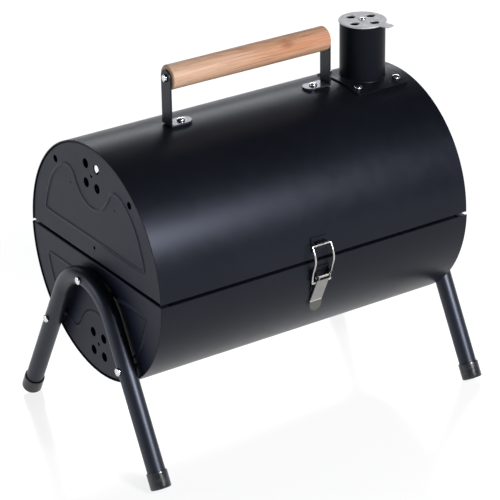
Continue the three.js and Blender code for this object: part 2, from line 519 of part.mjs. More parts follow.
// ---------- inside: grate supports, cooking grate, charcoal tray ----------
{
  const gx = 176.5, gy = 113, wire = 1.5, frameR = 2;
  const zc = GRATE_Z - wire; // cross wires' centre plane
  for (const [name, s] of [["left", -1], ["right", 1]]) {
    const inner = PLATE_X - SHEET - GAP;
    const zs = zc - frameR - GAP; // shelf's top face
    let sup = box(s > 0 ? 171 : -inner, s > 0 ? inner : -171, -96, 96, zs - 1.4, zs);
    sup = sup.add(box(s > 0 ? inner - 1.4 : -inner, s > 0 ? inner : -inner + 1.4, -96, 96, zs - 12, zs - 0.5));
    add("grate_support_" + name, sup, PLATE_BLACK);
  }
  // frame ring with cross wires
  const c = 14;
  const ring = [[0, -gy, zc], [gx, -gy, zc], [gx, gy, zc], [-gx, gy, zc], [-gx, -gy, zc], [0, -gy, zc]];
  const path = filleted(ring, c, 2);
  const half1 = path.slice(0, Math.ceil(path.length / 2) + 1), half2 = path.slice(Math.ceil(path.length / 2) - 1);
  let grate = sweep(half1, frameR, 0, 6).add(sweep(half2, frameR, 0, 6));
  for (const x of [-60, 60]) grate = grate.add(bar([x, -gy, zc - 0.6], [x, gy, zc - 0.6], 1.5, 4));
  const n = 13;
  for (let i = 0; i < n; i++) {
    const y = -gy + ((2 * gy) * (i + 1)) / (n + 1);
    grate = grate.add(bar([-gx, y, zc + 1], [gx, y, zc + 1], wire, 4, 0));
  }
  add("cooking_grate", grate, CHROME_WIRE);

  // shallow charcoal tray with drain slots
  const tx = 169.5, ty = 92.6, h = 16;
  let tray = box(-tx, tx, -ty, ty, TRAY_Z, TRAY_Z + h).subtract(box(-tx + 1.3, tx - 1.3, -ty + 1.3, ty - 1.3, TRAY_Z + 1.3, TRAY_Z + h + 5));
  for (let i = -3; i <= 3; i++)
    for (const j of [-1, 1]) tray = tray.subtract(box(i * 44 - 4, i * 44 + 4, j > 0 ? 14 : -74, j > 0 ? 74 : -14, TRAY_Z - 5, TRAY_Z + 5));
  add("charcoal_tray", tray, PLATE_BLACK);
}

export default group;
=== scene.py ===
import math
import random

import bpy
import bmesh
from mathutils import Matrix, Quaternion, Vector


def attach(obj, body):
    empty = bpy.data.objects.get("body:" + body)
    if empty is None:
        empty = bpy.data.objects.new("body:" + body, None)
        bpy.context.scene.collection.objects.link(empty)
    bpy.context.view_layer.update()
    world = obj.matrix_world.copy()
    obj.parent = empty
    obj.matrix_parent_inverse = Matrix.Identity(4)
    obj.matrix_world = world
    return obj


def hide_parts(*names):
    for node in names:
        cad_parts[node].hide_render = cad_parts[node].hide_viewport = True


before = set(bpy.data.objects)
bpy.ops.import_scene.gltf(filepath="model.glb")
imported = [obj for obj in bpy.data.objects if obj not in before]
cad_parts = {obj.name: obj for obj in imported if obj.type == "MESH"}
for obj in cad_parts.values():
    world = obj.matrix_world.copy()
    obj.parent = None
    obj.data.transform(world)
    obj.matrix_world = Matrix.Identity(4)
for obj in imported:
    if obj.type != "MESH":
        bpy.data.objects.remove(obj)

random.seed(7)
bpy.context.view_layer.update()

# ------------------------------------------------------------------ dimensions, mm, z from the barrel axis
AXIS_Z = 202.0
HALF = 190.0
SHEET = 1.4
R_BASE, R_LID = 127.5, 126.5
SPLIT = 1.5
HEM, HEM_END = 8.0, 176.0
PLATE_X, PAN = 189.0, 10.0
GAP = 0.3
VENT_Z, VENT_D, VENT_R = 94.5, 10.4, 5.2
LEG_X, TUBE_R, TUBE_WALL = 199.8, 9.5, 1.2
SPLAY = math.radians(28.5)
LEG_ARC_R, LEG_ARC_Z, FOOT_Z = 56.0, -71.7, -198.0
CAP_R, CAP_LEN, CAP_FLOOR = 10.9, 18.0, 3.0
GRIP_R, GRIP_Z, GRIP_HALF = 13.0, 178.2, 97.0
STRAP_W, STRAP_T, STRAP_TOP = 17.0, 2.0, 186.7
CHIM_X, CHIM_R, CHIM_WALL, CHIM_TOP = 146.0, 24.25, 1.2, 184.7
DAMPER_R, HOLE_R, HOLE_PCR, DAMPER_TURN = 25.5, 5.1, 15.0, 20.0
HINGE_X, HINGE_Y, HINGE_R, HINGE_HALF = 100.0, 131.0, 3.0, 17.0
PIVOT, BAIL = (-133.0, -17.0), (-129.3, -24.4)


# ------------------------------------------------------------------ mesh helpers
class Part:
    """Vertices and faces in mm, z from the barrel axis."""

    def __init__(self):
        self.v, self.f = [], []

    def add(self, verts, faces):
        n = len(self.v)
        self.v += [tuple(p) for p in verts]
        self.f += [tuple(i + n for i in f) for f in faces]
        return self

    def merge(self, other):
        return self.add(other.v, other.f)

    def moved(self, matrix):
        p = Part()
        p.v = [tuple(matrix @ Vector(q)) for q in self.v]
        p.f = list(self.f)
        return p


def rings(loops, closed_loop=True, cap=True, close_end=False):
    """Skins a list of equal-length loops of points."""
    p = Part()
    n = len(loops[0])
    verts = [q for loop in loops for q in loop]
    faces = []
    m = len(loops)
    for i in range(m if close_end else m - 1):
        a, b = i * n, ((i + 1) % m) * n
        for j in range(n if closed_loop else n - 1):
            k = (j + 1) % n
            faces.append((a + j, a + k, b + k, b + j))
    if cap and not close_end:
        faces.append(tuple(range(n))[::-1])
        faces.append(tuple((m - 1) * n + j for j in range(n)))
    return p.add(verts, faces)


def perp(d):
    d = Vector(d).normalized()
    a = Vector((0, 0, 1)) if abs(d.z) < 0.9 else Vector((1, 0, 0))
    u = d.cross(a).normalized()
    return d, u, d.cross(u).normalized()


def lathe(profile, origin, direction, seg=48):
    """(radius, height) pairs turned about direction; ends on the axis close by themselves."""
    d, u, w = perp(direction)
    o = Vector(origin)
    verts, faces, idx = [], [], []
    for r, h in profile:
        if r < 1e-6:
            idx.append([len(verts)])
            verts.append(o + d * h)
        else:
            idx.append(list(range(len(verts), len(verts) + seg)))
            for k in range(seg):
                a = 2 * math.pi * k / seg
                verts.append(o + d * h + (u * math.cos(a) + w * math.sin(a)) * r)
    for i in range(len(idx) - 1):
        a, b = idx[i], idx[i + 1]
        for k in range(seg):
            l = (k + 1) % seg
            if len(a) == 1 and len(b) > 1:
                faces.append((a[0], b[l], b[k]))
            elif len(b) == 1 and len(a) > 1:
                faces.append((a[k], a[l], b[0]))
            elif len(a) > 1 and len(b) > 1:
                faces.append((a[k], a[l], b[l], b[k]))
    if len(idx[0]) > 1 and profile[0] != profile[-1]:
        faces.append(tuple(idx[0])[::-1])
        faces.append(tuple(idx[-1]))
    return Part().add(verts, faces)


def tube(points, r, seg=20, closed=False):
    """Round bar through points, with parallel-transported sections."""
    pts = [Vector(p) for p in points]
    n = len(pts)
    tang = []
    for i in range(n):
        a = pts[(i - 1) % n] if closed or i else pts[i]
        b = pts[(i + 1) % n] if closed or i < n - 1 else pts[i]
        tang.append((b - a).normalized())
    _, u, w = perp(tang[0])
    loops = []
    for i in range(n):
        if i:
            q = tang[i - 1].rotation_difference(tang[i])
            u = (q @ u).normalized()
        t = tang[i]
        u = (u - t * u.dot(t)).normalized()
        w = t.cross(u)
        loops.append([pts[i] + (u * math.cos(2 * math.pi * k / seg) + w * math.sin(2 * math.pi * k / seg)) * r for k in range(seg)])
    return rings(loops, cap=not closed, close_end=closed)


def arc(r, a0, a1, n):
    return [(r * math.cos(a0 + (a1 - a0) * i / n), r * math.sin(a0 + (a1 - a0) * i / n)) for i in range(n + 1)]


def circle(cx, cy, r, n):
    return [(cx + r * math.cos(2 * math.pi * i / n), cy + r * math.sin(2 * math.pi * i / n)) for i in range(n)]


def round_poly(points, radius, n=4):
    """Rounds the corners of a closed 2-D outline; radius is one number or one per corner."""
    out = []
    m = len(points)
    for i in range(m):
        p0, p1, p2 = (Vector(points[(i + k) % m]) for k in (-1, 0, 1))
        r = radius[i] if isinstance(radius, (list, tuple)) else radius
        a, b = p0 - p1, p2 - p1
        ang = a.angle(b)
        if r <= 0 or ang > math.pi - 0.02:
            out.append(tuple(p1))
            continue
        t = min(r / math.tan(ang / 2), a.length * 0.48, b.length * 0.48)
        rr = t * math.tan(ang / 2)
        a.normalize(), b.normalize()
        c = p1 + (a + b).normalized() * (rr / math.sin(ang / 2))
        s, e = p1 + a * t - c, p1 + b * t - c
        w = s.angle(e)
        for k in range(n + 1):
            f = k / n
            q = c + s * (math.sin((1 - f) * w) / math.sin(w)) + e * (math.sin(f * w) / math.sin(w))
            out.append(tuple(q))
    return out


def prism(outline, lo, hi, axis):
    """2-D outline along an axis: 'x' takes (y, z), 'y' takes (x, z), 'z' takes (x, y)."""
    def at(p, t):
        return {"x": (t, p[0], p[1]), "y": (p[0], t, p[1]), "z": (p[0], p[1], t)}[axis]
    return rings([[at(p, lo) for p in outline], [at(p, hi) for p in outline]])


def smooth_line(points, per=6):
    """Catmull-Rom through 3-D points."""
    pts = [Vector(p) for p in points]
    out = []
    for i in range(len(pts) - 1):
        p0, p1, p2, p3 = pts[max(i - 1, 0)], pts[i], pts[i + 1], pts[min(i + 2, len(pts) - 1)]
        for k in range(per):
            t = k / per
            out.append(0.5 * ((2 * p1) + (p2 - p0) * t + (2 * p0 - 5 * p1 + 4 * p2 - p3) * t * t + (3 * p1 - p0 - 3 * p2 + p3) * t ** 3))
    out.append(pts[-1])
    return out


def fillet_line(points, radius, n=5):
    """Rounds the corners of an open 3-D line."""
    out = [Vector(points[0])]
    for i in range(1, len(points) - 1):
        p0, p1, p2 = Vector(points[i - 1]), Vector(points[i]), Vector(points[i + 1])
        a, b = p0 - p1, p2 - p1
        ang = a.angle(b)
        if ang > math.pi - 0.02:
            out.append(p1)
            continue
        t = min(radius / math.tan(ang / 2), a.length * 0.46, b.length * 0.46)
        rr = t * math.tan(ang / 2)
        a.normalize(), b.normalize()
        c = p1 + (a + b).normalized() * (rr / math.sin(ang / 2))
        s, e = p1 + a * t - c, p1 + b * t - c
        w = s.angle(e)
        for k in range(n + 1):
            f = k / n
            out.append(c + s * (math.sin((1 - f) * w) / math.sin(w)) + e * (math.sin(f * w) / math.sin(w)))
    out.append(Vector(points[-1]))
    return out


def make(name, part, material, body=None, replaces=(), angle=32, bevel=0.0, segs=2, cut=(), local=None, offset=True, flat=True):
    """One Blender object from a Part: holes cut, edges bevelled, then shaded smooth up to angle."""
    me = bpy.data.meshes.new(name)
    dz = AXIS_Z if offset else 0.0
    me.from_pydata([(x / 1000, y / 1000, (z + dz) / 1000) for x, y, z in part.v], [], part.f)
    bm = bmesh.new()
    bm.from_mesh(me)
    bmesh.ops.remove_doubles(bm, verts=bm.verts, dist=2e-6)
    bmesh.ops.recalc_face_normals(bm, faces=bm.faces)
    bm.to_mesh(me)
    bm.free()
    ob = bpy.data.objects.new(name, me)
    bpy.context.scene.collection.objects.link(ob)
    cutters = []
    for c in cut:
        cm = bpy.data.meshes.new(name + "_cut")
        cm.from_pydata([(x / 1000, y / 1000, (z + dz) / 1000) for x, y, z in c.v], [], c.f)
        b2 = bmesh.new()
        b2.from_mesh(cm)
        bmesh.ops.remove_doubles(b2, verts=b2.verts, dist=1e-7)
        bmesh.ops.recalc_face_normals(b2, faces=b2.faces)
        b2.to_mesh(cm)
        b2.free()
        co = bpy.data.objects.new(name + "_cut", cm)
        bpy.context.scene.collection.objects.link(co)
        cutters.append(co)
        mod = ob.modifiers.new("cut", "BOOLEAN")
        mod.operation, mod.solver, mod.object = "DIFFERENCE", "EXACT", co
    if bevel > 0:
        mod = ob.modifiers.new("bevel", "BEVEL")
        mod.width, mod.segments, mod.limit_method, mod.angle_limit = bevel / 1000, segs, "ANGLE", math.radians(40)
        mod.use_clamp_overlap = True
    if ob.modifiers:
        dg = bpy.context.evaluated_depsgraph_get()
        new = bpy.data.meshes.new_from_object(ob.evaluated_get(dg))
        ob.modifiers.clear()
        old = ob.data
        ob.data = new
        bpy.data.meshes.remove(old)
        new.name = name
    for co in cutters:
        cm = co.data
        bpy.data.objects.remove(co)
        bpy.data.meshes.remove(cm)
    bm = bmesh.new()
    bm.from_mesh(ob.data)
    for f in bm.faces:
        f.smooth = True
    lim = math.radians(angle)
    for e in bm.edges:
        if len(e.link_faces) == 2:
            e.smooth = e.calc_face_angle(0) < lim
        else:
            e.smooth = False
    bm.to_mesh(ob.data)
    bm.free()
    if flat:
        mod = ob.modifiers.new("weighted", "WEIGHTED_NORMAL")
        mod.keep_sharp, mod.weight = True, 60
        dg = bpy.context.evaluated_depsgraph_get()
        new = bpy.data.meshes.new_from_object(ob.evaluated_get(dg))
        ob.modifiers.clear()
        old = ob.data
        ob.data = new
        bpy.data.meshes.remove(old)
        new.name = name
    ob.data.materials.clear()
    ob.data.materials.append(material)
    if local is not None:
        ob.matrix_world = local
    if body:
        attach(ob, body)
    if replaces:
        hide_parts(*replaces)
    return ob


# ------------------------------------------------------------------ materials
def nodes_of(name):
    m = bpy.data.materials.new(name)
    m.use_nodes = True
    nt = m.node_tree
    b = nt.nodes["Principled BSDF"]
    return m, nt, b


def N(nt, kind, **kw):
    n = nt.nodes.new(kind)
    for k, v in kw.items():
        if k in n.inputs:
            n.inputs[k].default_value = v
        else:
            setattr(n, k, v)
    return n


def mapped(nt, scale, loc=(0, 0, 0)):
    tc = nt.nodes.new("ShaderNodeTexCoord")
    mp = nt.nodes.new("ShaderNodeMapping")
    mp.inputs["Scale"].default_value = scale
    mp.inputs["Location"].default_value = loc
    nt.links.new(tc.outputs["Object"], mp.inputs["Vector"])
    return mp.outputs["Vector"]


def noise(nt, vec, scale, detail=4.0, rough=0.55, dist=0.0):
    n = N(nt, "ShaderNodeTexNoise", Scale=scale, Detail=detail, Roughness=rough, Distortion=dist)
    nt.links.new(vec, n.inputs["Vector"])
    return n.outputs["Fac"]


def ramp(nt, fac, stops):
    r = nt.nodes.new("ShaderNodeValToRGB")
    el = r.color_ramp.elements
    while len(el) < len(stops):
        el.new(0.5)
    for e, (p, c) in zip(el, stops):
        e.position = p
        e.color = (*c, 1) if len(c) == 3 else c
    nt.links.new(fac, r.inputs["Fac"])
    return r.outputs["Color"]


def span(nt, fac, lo, hi, f0=0.0, f1=1.0):
    m = N(nt, "ShaderNodeMapRange")
    m.inputs["From Min"].default_value, m.inputs["From Max"].default_value = f0, f1
    m.inputs["To Min"].default_value, m.inputs["To Max"].default_value = lo, hi
    nt.links.new(fac, m.inputs["Value"])
    return m.outputs["Result"]


def mix(nt, fac, a, b, kind="MIX"):
    m = nt.nodes.new("ShaderNodeMix")
    m.data_type, m.blend_type = "RGBA", kind
    for sock, val in ((m.inputs[0], fac), (m.inputs[6], a), (m.inputs[7], b)):
        if isinstance(val, (int, float)):
            sock.default_value = val
        elif isinstance(val, tuple):
            sock.default_value = (*val, 1)
        else:
            nt.links.new(val, sock)
    return m.outputs[2]


def bump(nt, height, strength, distance, normal=None):
    b = nt.nodes.new("ShaderNodeBump")
    b.inputs["Strength"].default_value = strength
    b.inputs["Distance"].default_value = distance
    nt.links.new(height, b.inputs["Height"])
    if normal is not None:
        nt.links.new(normal, b.inputs["Normal"])
    return b.outputs["Normal"]


def edge_wear(nt, radius=0.0006):
    """Light wear where the surface turns sharply, broken up by noise."""
    g = nt.nodes.new("ShaderNodeNewGeometry")
    bv = nt.nodes.new("ShaderNodeBevel")
    bv.samples = 4
    bv.inputs["Radius"].default_value = radius
    dot = nt.nodes.new("ShaderNodeVectorMath")
    dot.operation = "DOT_PRODUCT"
    nt.links.new(g.outputs["Normal"], dot.inputs[0])
    nt.links.new(bv.outputs["Normal"], dot.inputs[1])
    return span(nt, dot.outputs["Value"], 1.0, 0.0, 0.86, 0.99)


def coat(name, dark, light, rough, spec, dust=0.25, peel=0.06, wear=0.35):
    """Heat-resistant satin coating on sheet steel."""
    m, nt, b = nodes_of(name)
    v = mapped(nt, (1, 1, 1))
    broad = noise(nt, v, 9, 2, 0.5)
    mid = noise(nt, v, 55, 5, 0.6)
    fine = noise(nt, v, 900, 2, 0.5)
    grit = noise(nt, v, 2600, 1, 0.5)
    base = ramp(nt, broad, [(0.3, dark), (0.72, light)])
    speck = ramp(nt, grit, [(0.66, (0, 0, 0)), (0.74, (1, 1, 1))])
    base = mix(nt, span(nt, speck, 0.0, 0.10 * dust / 0.25), base, tuple(min(1, c * 5 + 0.03) for c in light))
    smudge = span(nt, mid, 0.0, 0.14 * dust, 0.45, 0.8)
    base = mix(nt, smudge, base, tuple(c * 2.2 + 0.01 for c in light))
    w = edge_wear(nt)
    wn = span(nt, noise(nt, v, 320, 4, 0.7), 0.0, wear, 0.5, 0.8)
    mul = N(nt, "ShaderNodeMath", operation="MULTIPLY")
    nt.links.new(w, mul.inputs[0])
    nt.links.new(wn, mul.inputs[1])
    base = mix(nt, mul.outputs[0], base, (0.16, 0.16, 0.17))
    nt.links.new(base, b.inputs["Base Color"])
    r1 = span(nt, mid, rough - 0.018, rough + 0.022, 0.3, 0.7)
    add = N(nt, "ShaderNodeMath", operation="ADD")
    nt.links.new(r1, add.inputs[0])
    nt.links.new(span(nt, fine, -0.03, 0.03), add.inputs[1])
    nt.links.new(add.outputs[0], b.inputs["Roughness"])
    b.inputs["Specular IOR Level"].default_value = spec
    b.inputs["Specular Tint"].default_value = (0.70, 0.77, 1.0, 1.0)
    n1 = bump(nt, fine, peel, 0.0003)
    n2 = bump(nt, broad, 0.03, 0.001, n1)
    nt.links.new(n2, b.inputs["Normal"])
    return m


def metal(name, color, rough, brush=None, spots=0.1, bump_s=0.05, dark=(0.12, 0.12, 0.12)):
    m, nt, b = nodes_of(name)
    v = mapped(nt, brush or (1, 1, 1))
    g = mapped(nt, (1, 1, 1), (3.1, 1.7, 0.4))
    lines = noise(nt, v, 700, 3, 0.6)
    blot = noise(nt, g, 130, 4, 0.6)
    stain = noise(nt, g, 420, 3, 0.6)
    c = ramp(nt, blot, [(0.3, tuple(x * 0.86 for x in color)), (0.7, color)])
    c = mix(nt, span(nt, stain, 0, spots, 0.58, 0.78), c, dark)
    nt.links.new(c, b.inputs["Base Color"])
    b.inputs["Metallic"].default_value = 1.0
    r = span(nt, lines, rough - 0.06, rough + 0.1, 0.3, 0.7)
    nt.links.new(r, b.inputs["Roughness"])
    nt.links.new(bump(nt, lines, bump_s, 0.0002), b.inputs["Normal"])
    return m


def spangle(name, color):
    """Galvanised sheet with a soft crystal pattern."""
    m, nt, b = nodes_of(name)
    v = mapped(nt, (1, 1, 1))
    vo = N(nt, "ShaderNodeTexVoronoi", Scale=210.0)
    nt.links.new(v, vo.inputs["Vector"])
    n = noise(nt, v, 60, 4, 0.6)
    c = mix(nt, 0.22, color, vo.outputs["Color"], "SOFT_LIGHT")
    hs = N(nt, "ShaderNodeHueSaturation")
    hs.inputs["Saturation"].default_value = 0.12
    nt.links.new(c, hs.inputs["Color"])
    c = mix(nt, span(nt, n, 0, 0.3, 0.5, 0.8), hs.outputs["Color"], tuple(x * 0.7 for x in color))
    nt.links.new(c, b.inputs["Base Color"])
    b.inputs["Metallic"].default_value = 0.5
    nt.links.new(span(nt, vo.outputs["Distance"], 0.48, 0.62), b.inputs["Roughness"])
    nt.links.new(bump(nt, noise(nt, v, 900, 2), 0.05, 0.0002), b.inputs["Normal"])
    return m


def wood(name):
    m, nt, b = nodes_of(name)
    tc = nt.nodes.new("ShaderNodeTexCoord")
    sep = nt.nodes.new("ShaderNodeSeparateXYZ")
    nt.links.new(tc.outputs["Object"], sep.inputs[0])
    warp = noise(nt, mapped(nt, (9, 26, 26)), 1.0, 3, 0.5)
    grain = noise(nt, mapped(nt, (6.0, 105, 105)), 1.0, 6, 0.62, 1.8)
    fine = noise(nt, mapped(nt, (14, 560, 560), (0.3, 0, 0)), 1.0, 4, 0.7, 0.7)
    pores = noise(nt, mapped(nt, (30, 900, 900), (0.7, 0.2, 0)), 1.0, 2, 0.6)
    c = ramp(nt, grain, [(0.30, (0.2260, 0.1210, 0.0700)), (0.44, (0.3160, 0.1850, 0.1155)), (0.58, (0.3660, 0.2270, 0.1510)), (0.76, (0.2600, 0.1440, 0.0860))])
    c = mix(nt, span(nt, fine, 0.0, 0.8, 0.46, 0.66), c, (0.2225, 0.1155, 0.0642))
    c = mix(nt, span(nt, pores, 0.0, 0.45, 0.60, 0.72), c, (0.1540, 0.0770, 0.0471))
    # crisp growth-ring lines: contours of a long stretched noise
    rings_n = noise(nt, mapped(nt, (3.4, 58, 58), (0.9, 0.4, 0.1)), 1.0, 2, 0.45, 0.9)
    rm = N(nt, "ShaderNodeMath", operation="MULTIPLY")
    nt.links.new(rings_n, rm.inputs[0])
    rm.inputs[1].default_value = 17.0
    fr = N(nt, "ShaderNodeMath", operation="FRACT")
    nt.links.new(rm.outputs[0], fr.inputs[0])
    line = ramp(nt, fr.outputs[0], [(0.0, (0, 0, 0)), (0.10, (1, 1, 1)), (0.17, (0.55, 0.55, 0.55)), (0.5, (0, 0, 0))])
    lm = N(nt, "ShaderNodeMath", operation="MULTIPLY")
    nt.links.new(line, lm.inputs[0])
    nt.links.new(span(nt, sep.outputs["X"], 0.42, 0.85, -0.06, 0.03), lm.inputs[1])
    c = mix(nt, lm.outputs[0], c, (0.150, 0.060, 0.028))
    # heartwood streaks run through the right half, in line with the grain
    bend = N(nt, "ShaderNodeMath", operation="MULTIPLY")
    nt.links.new(span(nt, warp, -0.006, 0.006), bend.inputs[0])
    bend.inputs[1].default_value = 1.0
    zz = N(nt, "ShaderNodeMath", operation="ADD")
    nt.links.new(sep.outputs["Z"], zz.inputs[0])
    nt.links.new(bend.outputs[0], zz.inputs[1])
    band = N(nt, "ShaderNodeMath", operation="SUBTRACT")
    nt.links.new(zz.outputs[0], band.inputs[0])
    band.inputs[1].default_value = (AXIS_Z + GRIP_Z + 3.5) / 1000
    absb = N(nt, "ShaderNodeMath", operation="ABSOLUTE")
    nt.links.new(band.outputs[0], absb.inputs[0])
    core = span(nt, absb.outputs[0], 1.0, 0.0, 0.001, 0.0085)
    xin = span(nt, sep.outputs["X"], 0.0, 1.0, -0.015, 0.035)
    heart = N(nt, "ShaderNodeMath", operation="MULTIPLY")
    nt.links.new(core, heart.inputs[0])
    nt.links.new(xin, heart.inputs[1])
    stripe = ramp(nt, fine, [(0.35, (0.30, 0.30, 0.30)), (0.65, (1, 1, 1))])
    hm = N(nt, "ShaderNodeMath", operation="MULTIPLY")
    nt.links.new(heart.outputs[0], hm.inputs[0])
    nt.links.new(stripe, hm.inputs[1])
    c = mix(nt, span(nt, hm.outputs[0], 0.0, 0.85), c, (0.2738, 0.0984, 0.0385))
    # the left half is paler
    c = mix(nt, span(nt, sep.outputs["X"], 0.30, 0.0, -0.09, 0.01), c, (0.3936, 0.2952, 0.2310))
    # one knot right of the middle, on the front
    wob = N(nt, "ShaderNodeVectorMath", operation="MULTIPLY")
    nt.links.new(tc.outputs["Object"], wob.inputs[0])
    wob.inputs[1].default_value = (0.42, 1, 1)
    dist = N(nt, "ShaderNodeVectorMath", operation="DISTANCE")
    nt.links.new(wob.outputs["Vector"], dist.inputs[0])
    dist.inputs[1].default_value = (0.042 * 0.42, -0.0105, (AXIS_Z + GRIP_Z + 7.0) / 1000)
    dn = N(nt, "ShaderNodeMath", operation="ADD")
    nt.links.new(dist.outputs["Value"], dn.inputs[0])
    nt.links.new(span(nt, grain, -0.0016, 0.0016, 0.3, 0.7), dn.inputs[1])
    k = span(nt, dn.outputs[0], 0.85, 0.0, 0.0008, 0.0044)
    c = mix(nt, k, c, (0.1626, 0.0582, 0.0257))
    nt.links.new(c, b.inputs["Base Color"])
    nt.links.new(span(nt, fine, 0.45, 0.65), b.inputs["Roughness"])
    b.inputs["Specular IOR Level"].default_value = 0.3
    n1 = bump(nt, fine, 0.25, 0.0004)
    nt.links.new(bump(nt, grain, 0.12, 0.0006, n1), b.inputs["Normal"])
    return m


def plastic(name, color, rough):
    m, nt, b = nodes_of(name)
    v = mapped(nt, (1, 1, 1))
    n = noise(nt, v, 180, 4, 0.6)
    f = noise(nt, v, 1300, 2, 0.5)
    c = ramp(nt, n, [(0.35, color), (0.75, tuple(x * 2.0 + 0.004 for x in color))])
    nt.links.new(c, b.inputs["Base Color"])
    nt.links.new(span(nt, n, rough - 0.05, rough + 0.16, 0.3, 0.8), b.inputs["Roughness"])
    nt.links.new(bump(nt, f, 0.04, 0.0002), b.inputs["Normal"])
    b.inputs["Specular IOR Level"].default_value = 0.5
    return m


M_COAT = coat("satin_black_coat", (0.0020, 0.0024, 0.0040), (0.0030, 0.0036, 0.0056), 0.335, 0.20, peel=0.10)
# end plates: the barrel's black coat made lighter and bluer, a painted sheen for the light the plates catch
M_PLATE_LIT_COPY = coat("slate_black_coat_lit_copy", (0.0026, 0.0042, 0.0100), (0.0038, 0.0060, 0.0140), 0.44, 0.25, dust=0.2, peel=0.10)
M_CHIM = coat("chimney_black_coat", (0.0022, 0.0027, 0.0042), (0.0032, 0.0038, 0.0056), 0.38, 0.07)
M_TUBE = coat("tube_black_coat", (0.0026, 0.0031, 0.0044), (0.0042, 0.0050, 0.0068), 0.39, 0.52, peel=0.05)
M_STRAP = coat("strap_black_coat", (0.0035, 0.0035, 0.004), (0.006, 0.006, 0.007), 0.32, 0.28, peel=0.04, wear=0.5)
# strap feet: the strap's black coat made lighter, painted light for the lit top face of the foot
M_PAD_LIT_COPY = coat("strap_foot_coat_lit_copy", (0.009, 0.009, 0.011), (0.014, 0.014, 0.017), 0.25, 1.0, peel=0.04, wear=0.5)
M_INNER = coat("inner_black_coat", (0.012, 0.012, 0.014), (0.020, 0.020, 0.022), 0.6, 0.3, dust=0.5, peel=0.12)
M_ZINC = spangle("galvanised_sheet", (0.34, 0.37, 0.44))
M_STEEL = metal("stainless_steel", (0.50, 0.49, 0.475), 0.27, brush=(0.25, 1, 1), spots=0.12)
M_LEVER = metal("stainless_lever", (0.30, 0.29, 0.28), 0.30, brush=(1, 0.3, 0.3), spots=0.2)
M_STEEL_DARK = metal("stainless_steel_shaded", (0.36, 0.345, 0.32), 0.33, spots=0.3)
M_CHROME = metal("bright_plate", (0.74, 0.745, 0.75), 0.16, spots=0.12, bump_s=0.03)
M_WIRE = metal("plated_wire", (0.62, 0.63, 0.64), 0.24, spots=0.15, bump_s=0.04)
M_WOOD = wood("oiled_wood")
M_CAP = plastic("cap_black_plastic", (0.008, 0.0085, 0.010), 0.22)



def paint_shade_below_bend(m, z, dark, bright):
    """Painted shade on the tongue under the lever's bend, with a painted highlight line along the bend."""
    nt = m.node_tree
    b = nt.nodes["Principled BSDF"]
    old = b.inputs["Base Color"].links[0].from_socket
    tc = nt.nodes.new("ShaderNodeTexCoord")
    sep = nt.nodes.new("ShaderNodeSeparateXYZ")
    nt.links.new(tc.outputs["Object"], sep.inputs[0])
    # painted shade: the tongue below the bend is darkened
    painted_shade_mask = span(nt, sep.outputs["Z"], 1.0, 0.0, z - 0.0008, z)
    c = mix(nt, painted_shade_mask, old, dark)
    # painted highlight: a bright line along the bend
    up = span(nt, sep.outputs["Z"], 0.0, 1.0, z - 0.0002, z + 0.0004)
    dn = span(nt, sep.outputs["Z"], 1.0, 0.0, z + 0.0010, z + 0.0016)
    mul = N(nt, "ShaderNodeMath", operation="MULTIPLY")
    nt.links.new(up, mul.inputs[0])
    nt.links.new(dn, mul.inputs[1])
    nt.links.new(mix(nt, mul.outputs[0], c, bright), b.inputs["Base Color"])


# painted shade on the lever's tongue and a painted highlight along its bend
paint_shade_below_bend(M_LEVER, (AXIS_Z - 50.2) / 1000, (0.135, 0.137, 0.120), (0.62, 0.61, 0.60))


# ------------------------------------------------------------------ half barrels
def shell_part(R, sign, seg=120):
    ri = R - SHEET
    a0, b0 = math.asin(SPLIT / R), math.asin(SPLIT / ri)
    edge = 0.45
    outer = arc(R, a0 + 0.002, math.pi - a0 - 0.002, seg)
    inner = arc(ri, b0 + 0.002, math.pi - b0 - 0.002, seg)[::-1]
    prof = outer + [(-R + 0.4, SPLIT)] + [(-ri - 0.4, SPLIT)] + inner + [(ri + 0.4, SPLIT)] + [(R - 0.4, SPLIT)]
    loops = []
    xs = [-HALF, -HALF + edge] + [-HALF + edge + (2 * HALF - 2 * edge) * i / 12 for i in range(1, 12)] + [HALF - edge, HALF]
    for i, x in enumerate(xs):
        k = 0.4 if i in (0, len(xs) - 1) else 0.0
        loop = []
        for j, (y, z) in enumerate(prof):
            r = math.hypot(y, z)
            if r > 1e-6 and j <= seg:
                f = (r - k) / r
            elif seg + 3 <= j <= 2 * seg + 3:
                f = (r + k) / r
            else:
                f = 1
            loop.append((x, y * f, sign * max(z * f, SPLIT)))
        loops.append(loop)
    return rings(loops)


def hem_parts(R, sign):
    p = Part()
    for side in (-1, 1):
        y0, y1 = side * (R - SHEET + 0.3), side * (R - SHEET - HEM)
        z0 = sign * SPLIT
        out = round_poly([(y0, z0), (y1, z0), (y1, z0 + sign * SHEET), (y0, z0 + sign * SHEET)], [0, 0.6, 0.6, 0], 3)
        p.merge(prism(out, -HEM_END, HEM_END, "x"))
    return p


def rad(R, deg):
    a = math.radians(deg)
    return R * math.cos(a), R * math.sin(a)


def drill(p, q, r, seg=32):
    p, q = Vector(p), Vector(q)
    return lathe([(0, 0), (r, 0), (r, (q - p).length), (0, (q - p).length)], p, q - p, seg)


base_shell = make("base_barrel_sheet", shell_part(R_BASE, -1), M_COAT, "base", ["base_shell"])
make("base_barrel_hems", hem_parts(R_BASE, -1), M_COAT, "base")
lid_cuts = [drill((CHIM_X, 0, 100), (CHIM_X, 0, 150), CHIM_R + 0.6, 64)]
for sx in (-1, 1):
    y, z = rad(1, 19)
    lid_cuts.append(drill((sx * 117, y * 118, z * 118), (sx * 117, y * 132, z * 132), 7))
lid_shell = make("lid_barrel_sheet", shell_part(R_LID, 1), M_COAT, "lid", ["lid_shell"], cut=lid_cuts)
make("lid_barrel_hems", hem_parts(R_LID, 1), M_COAT, "lid")


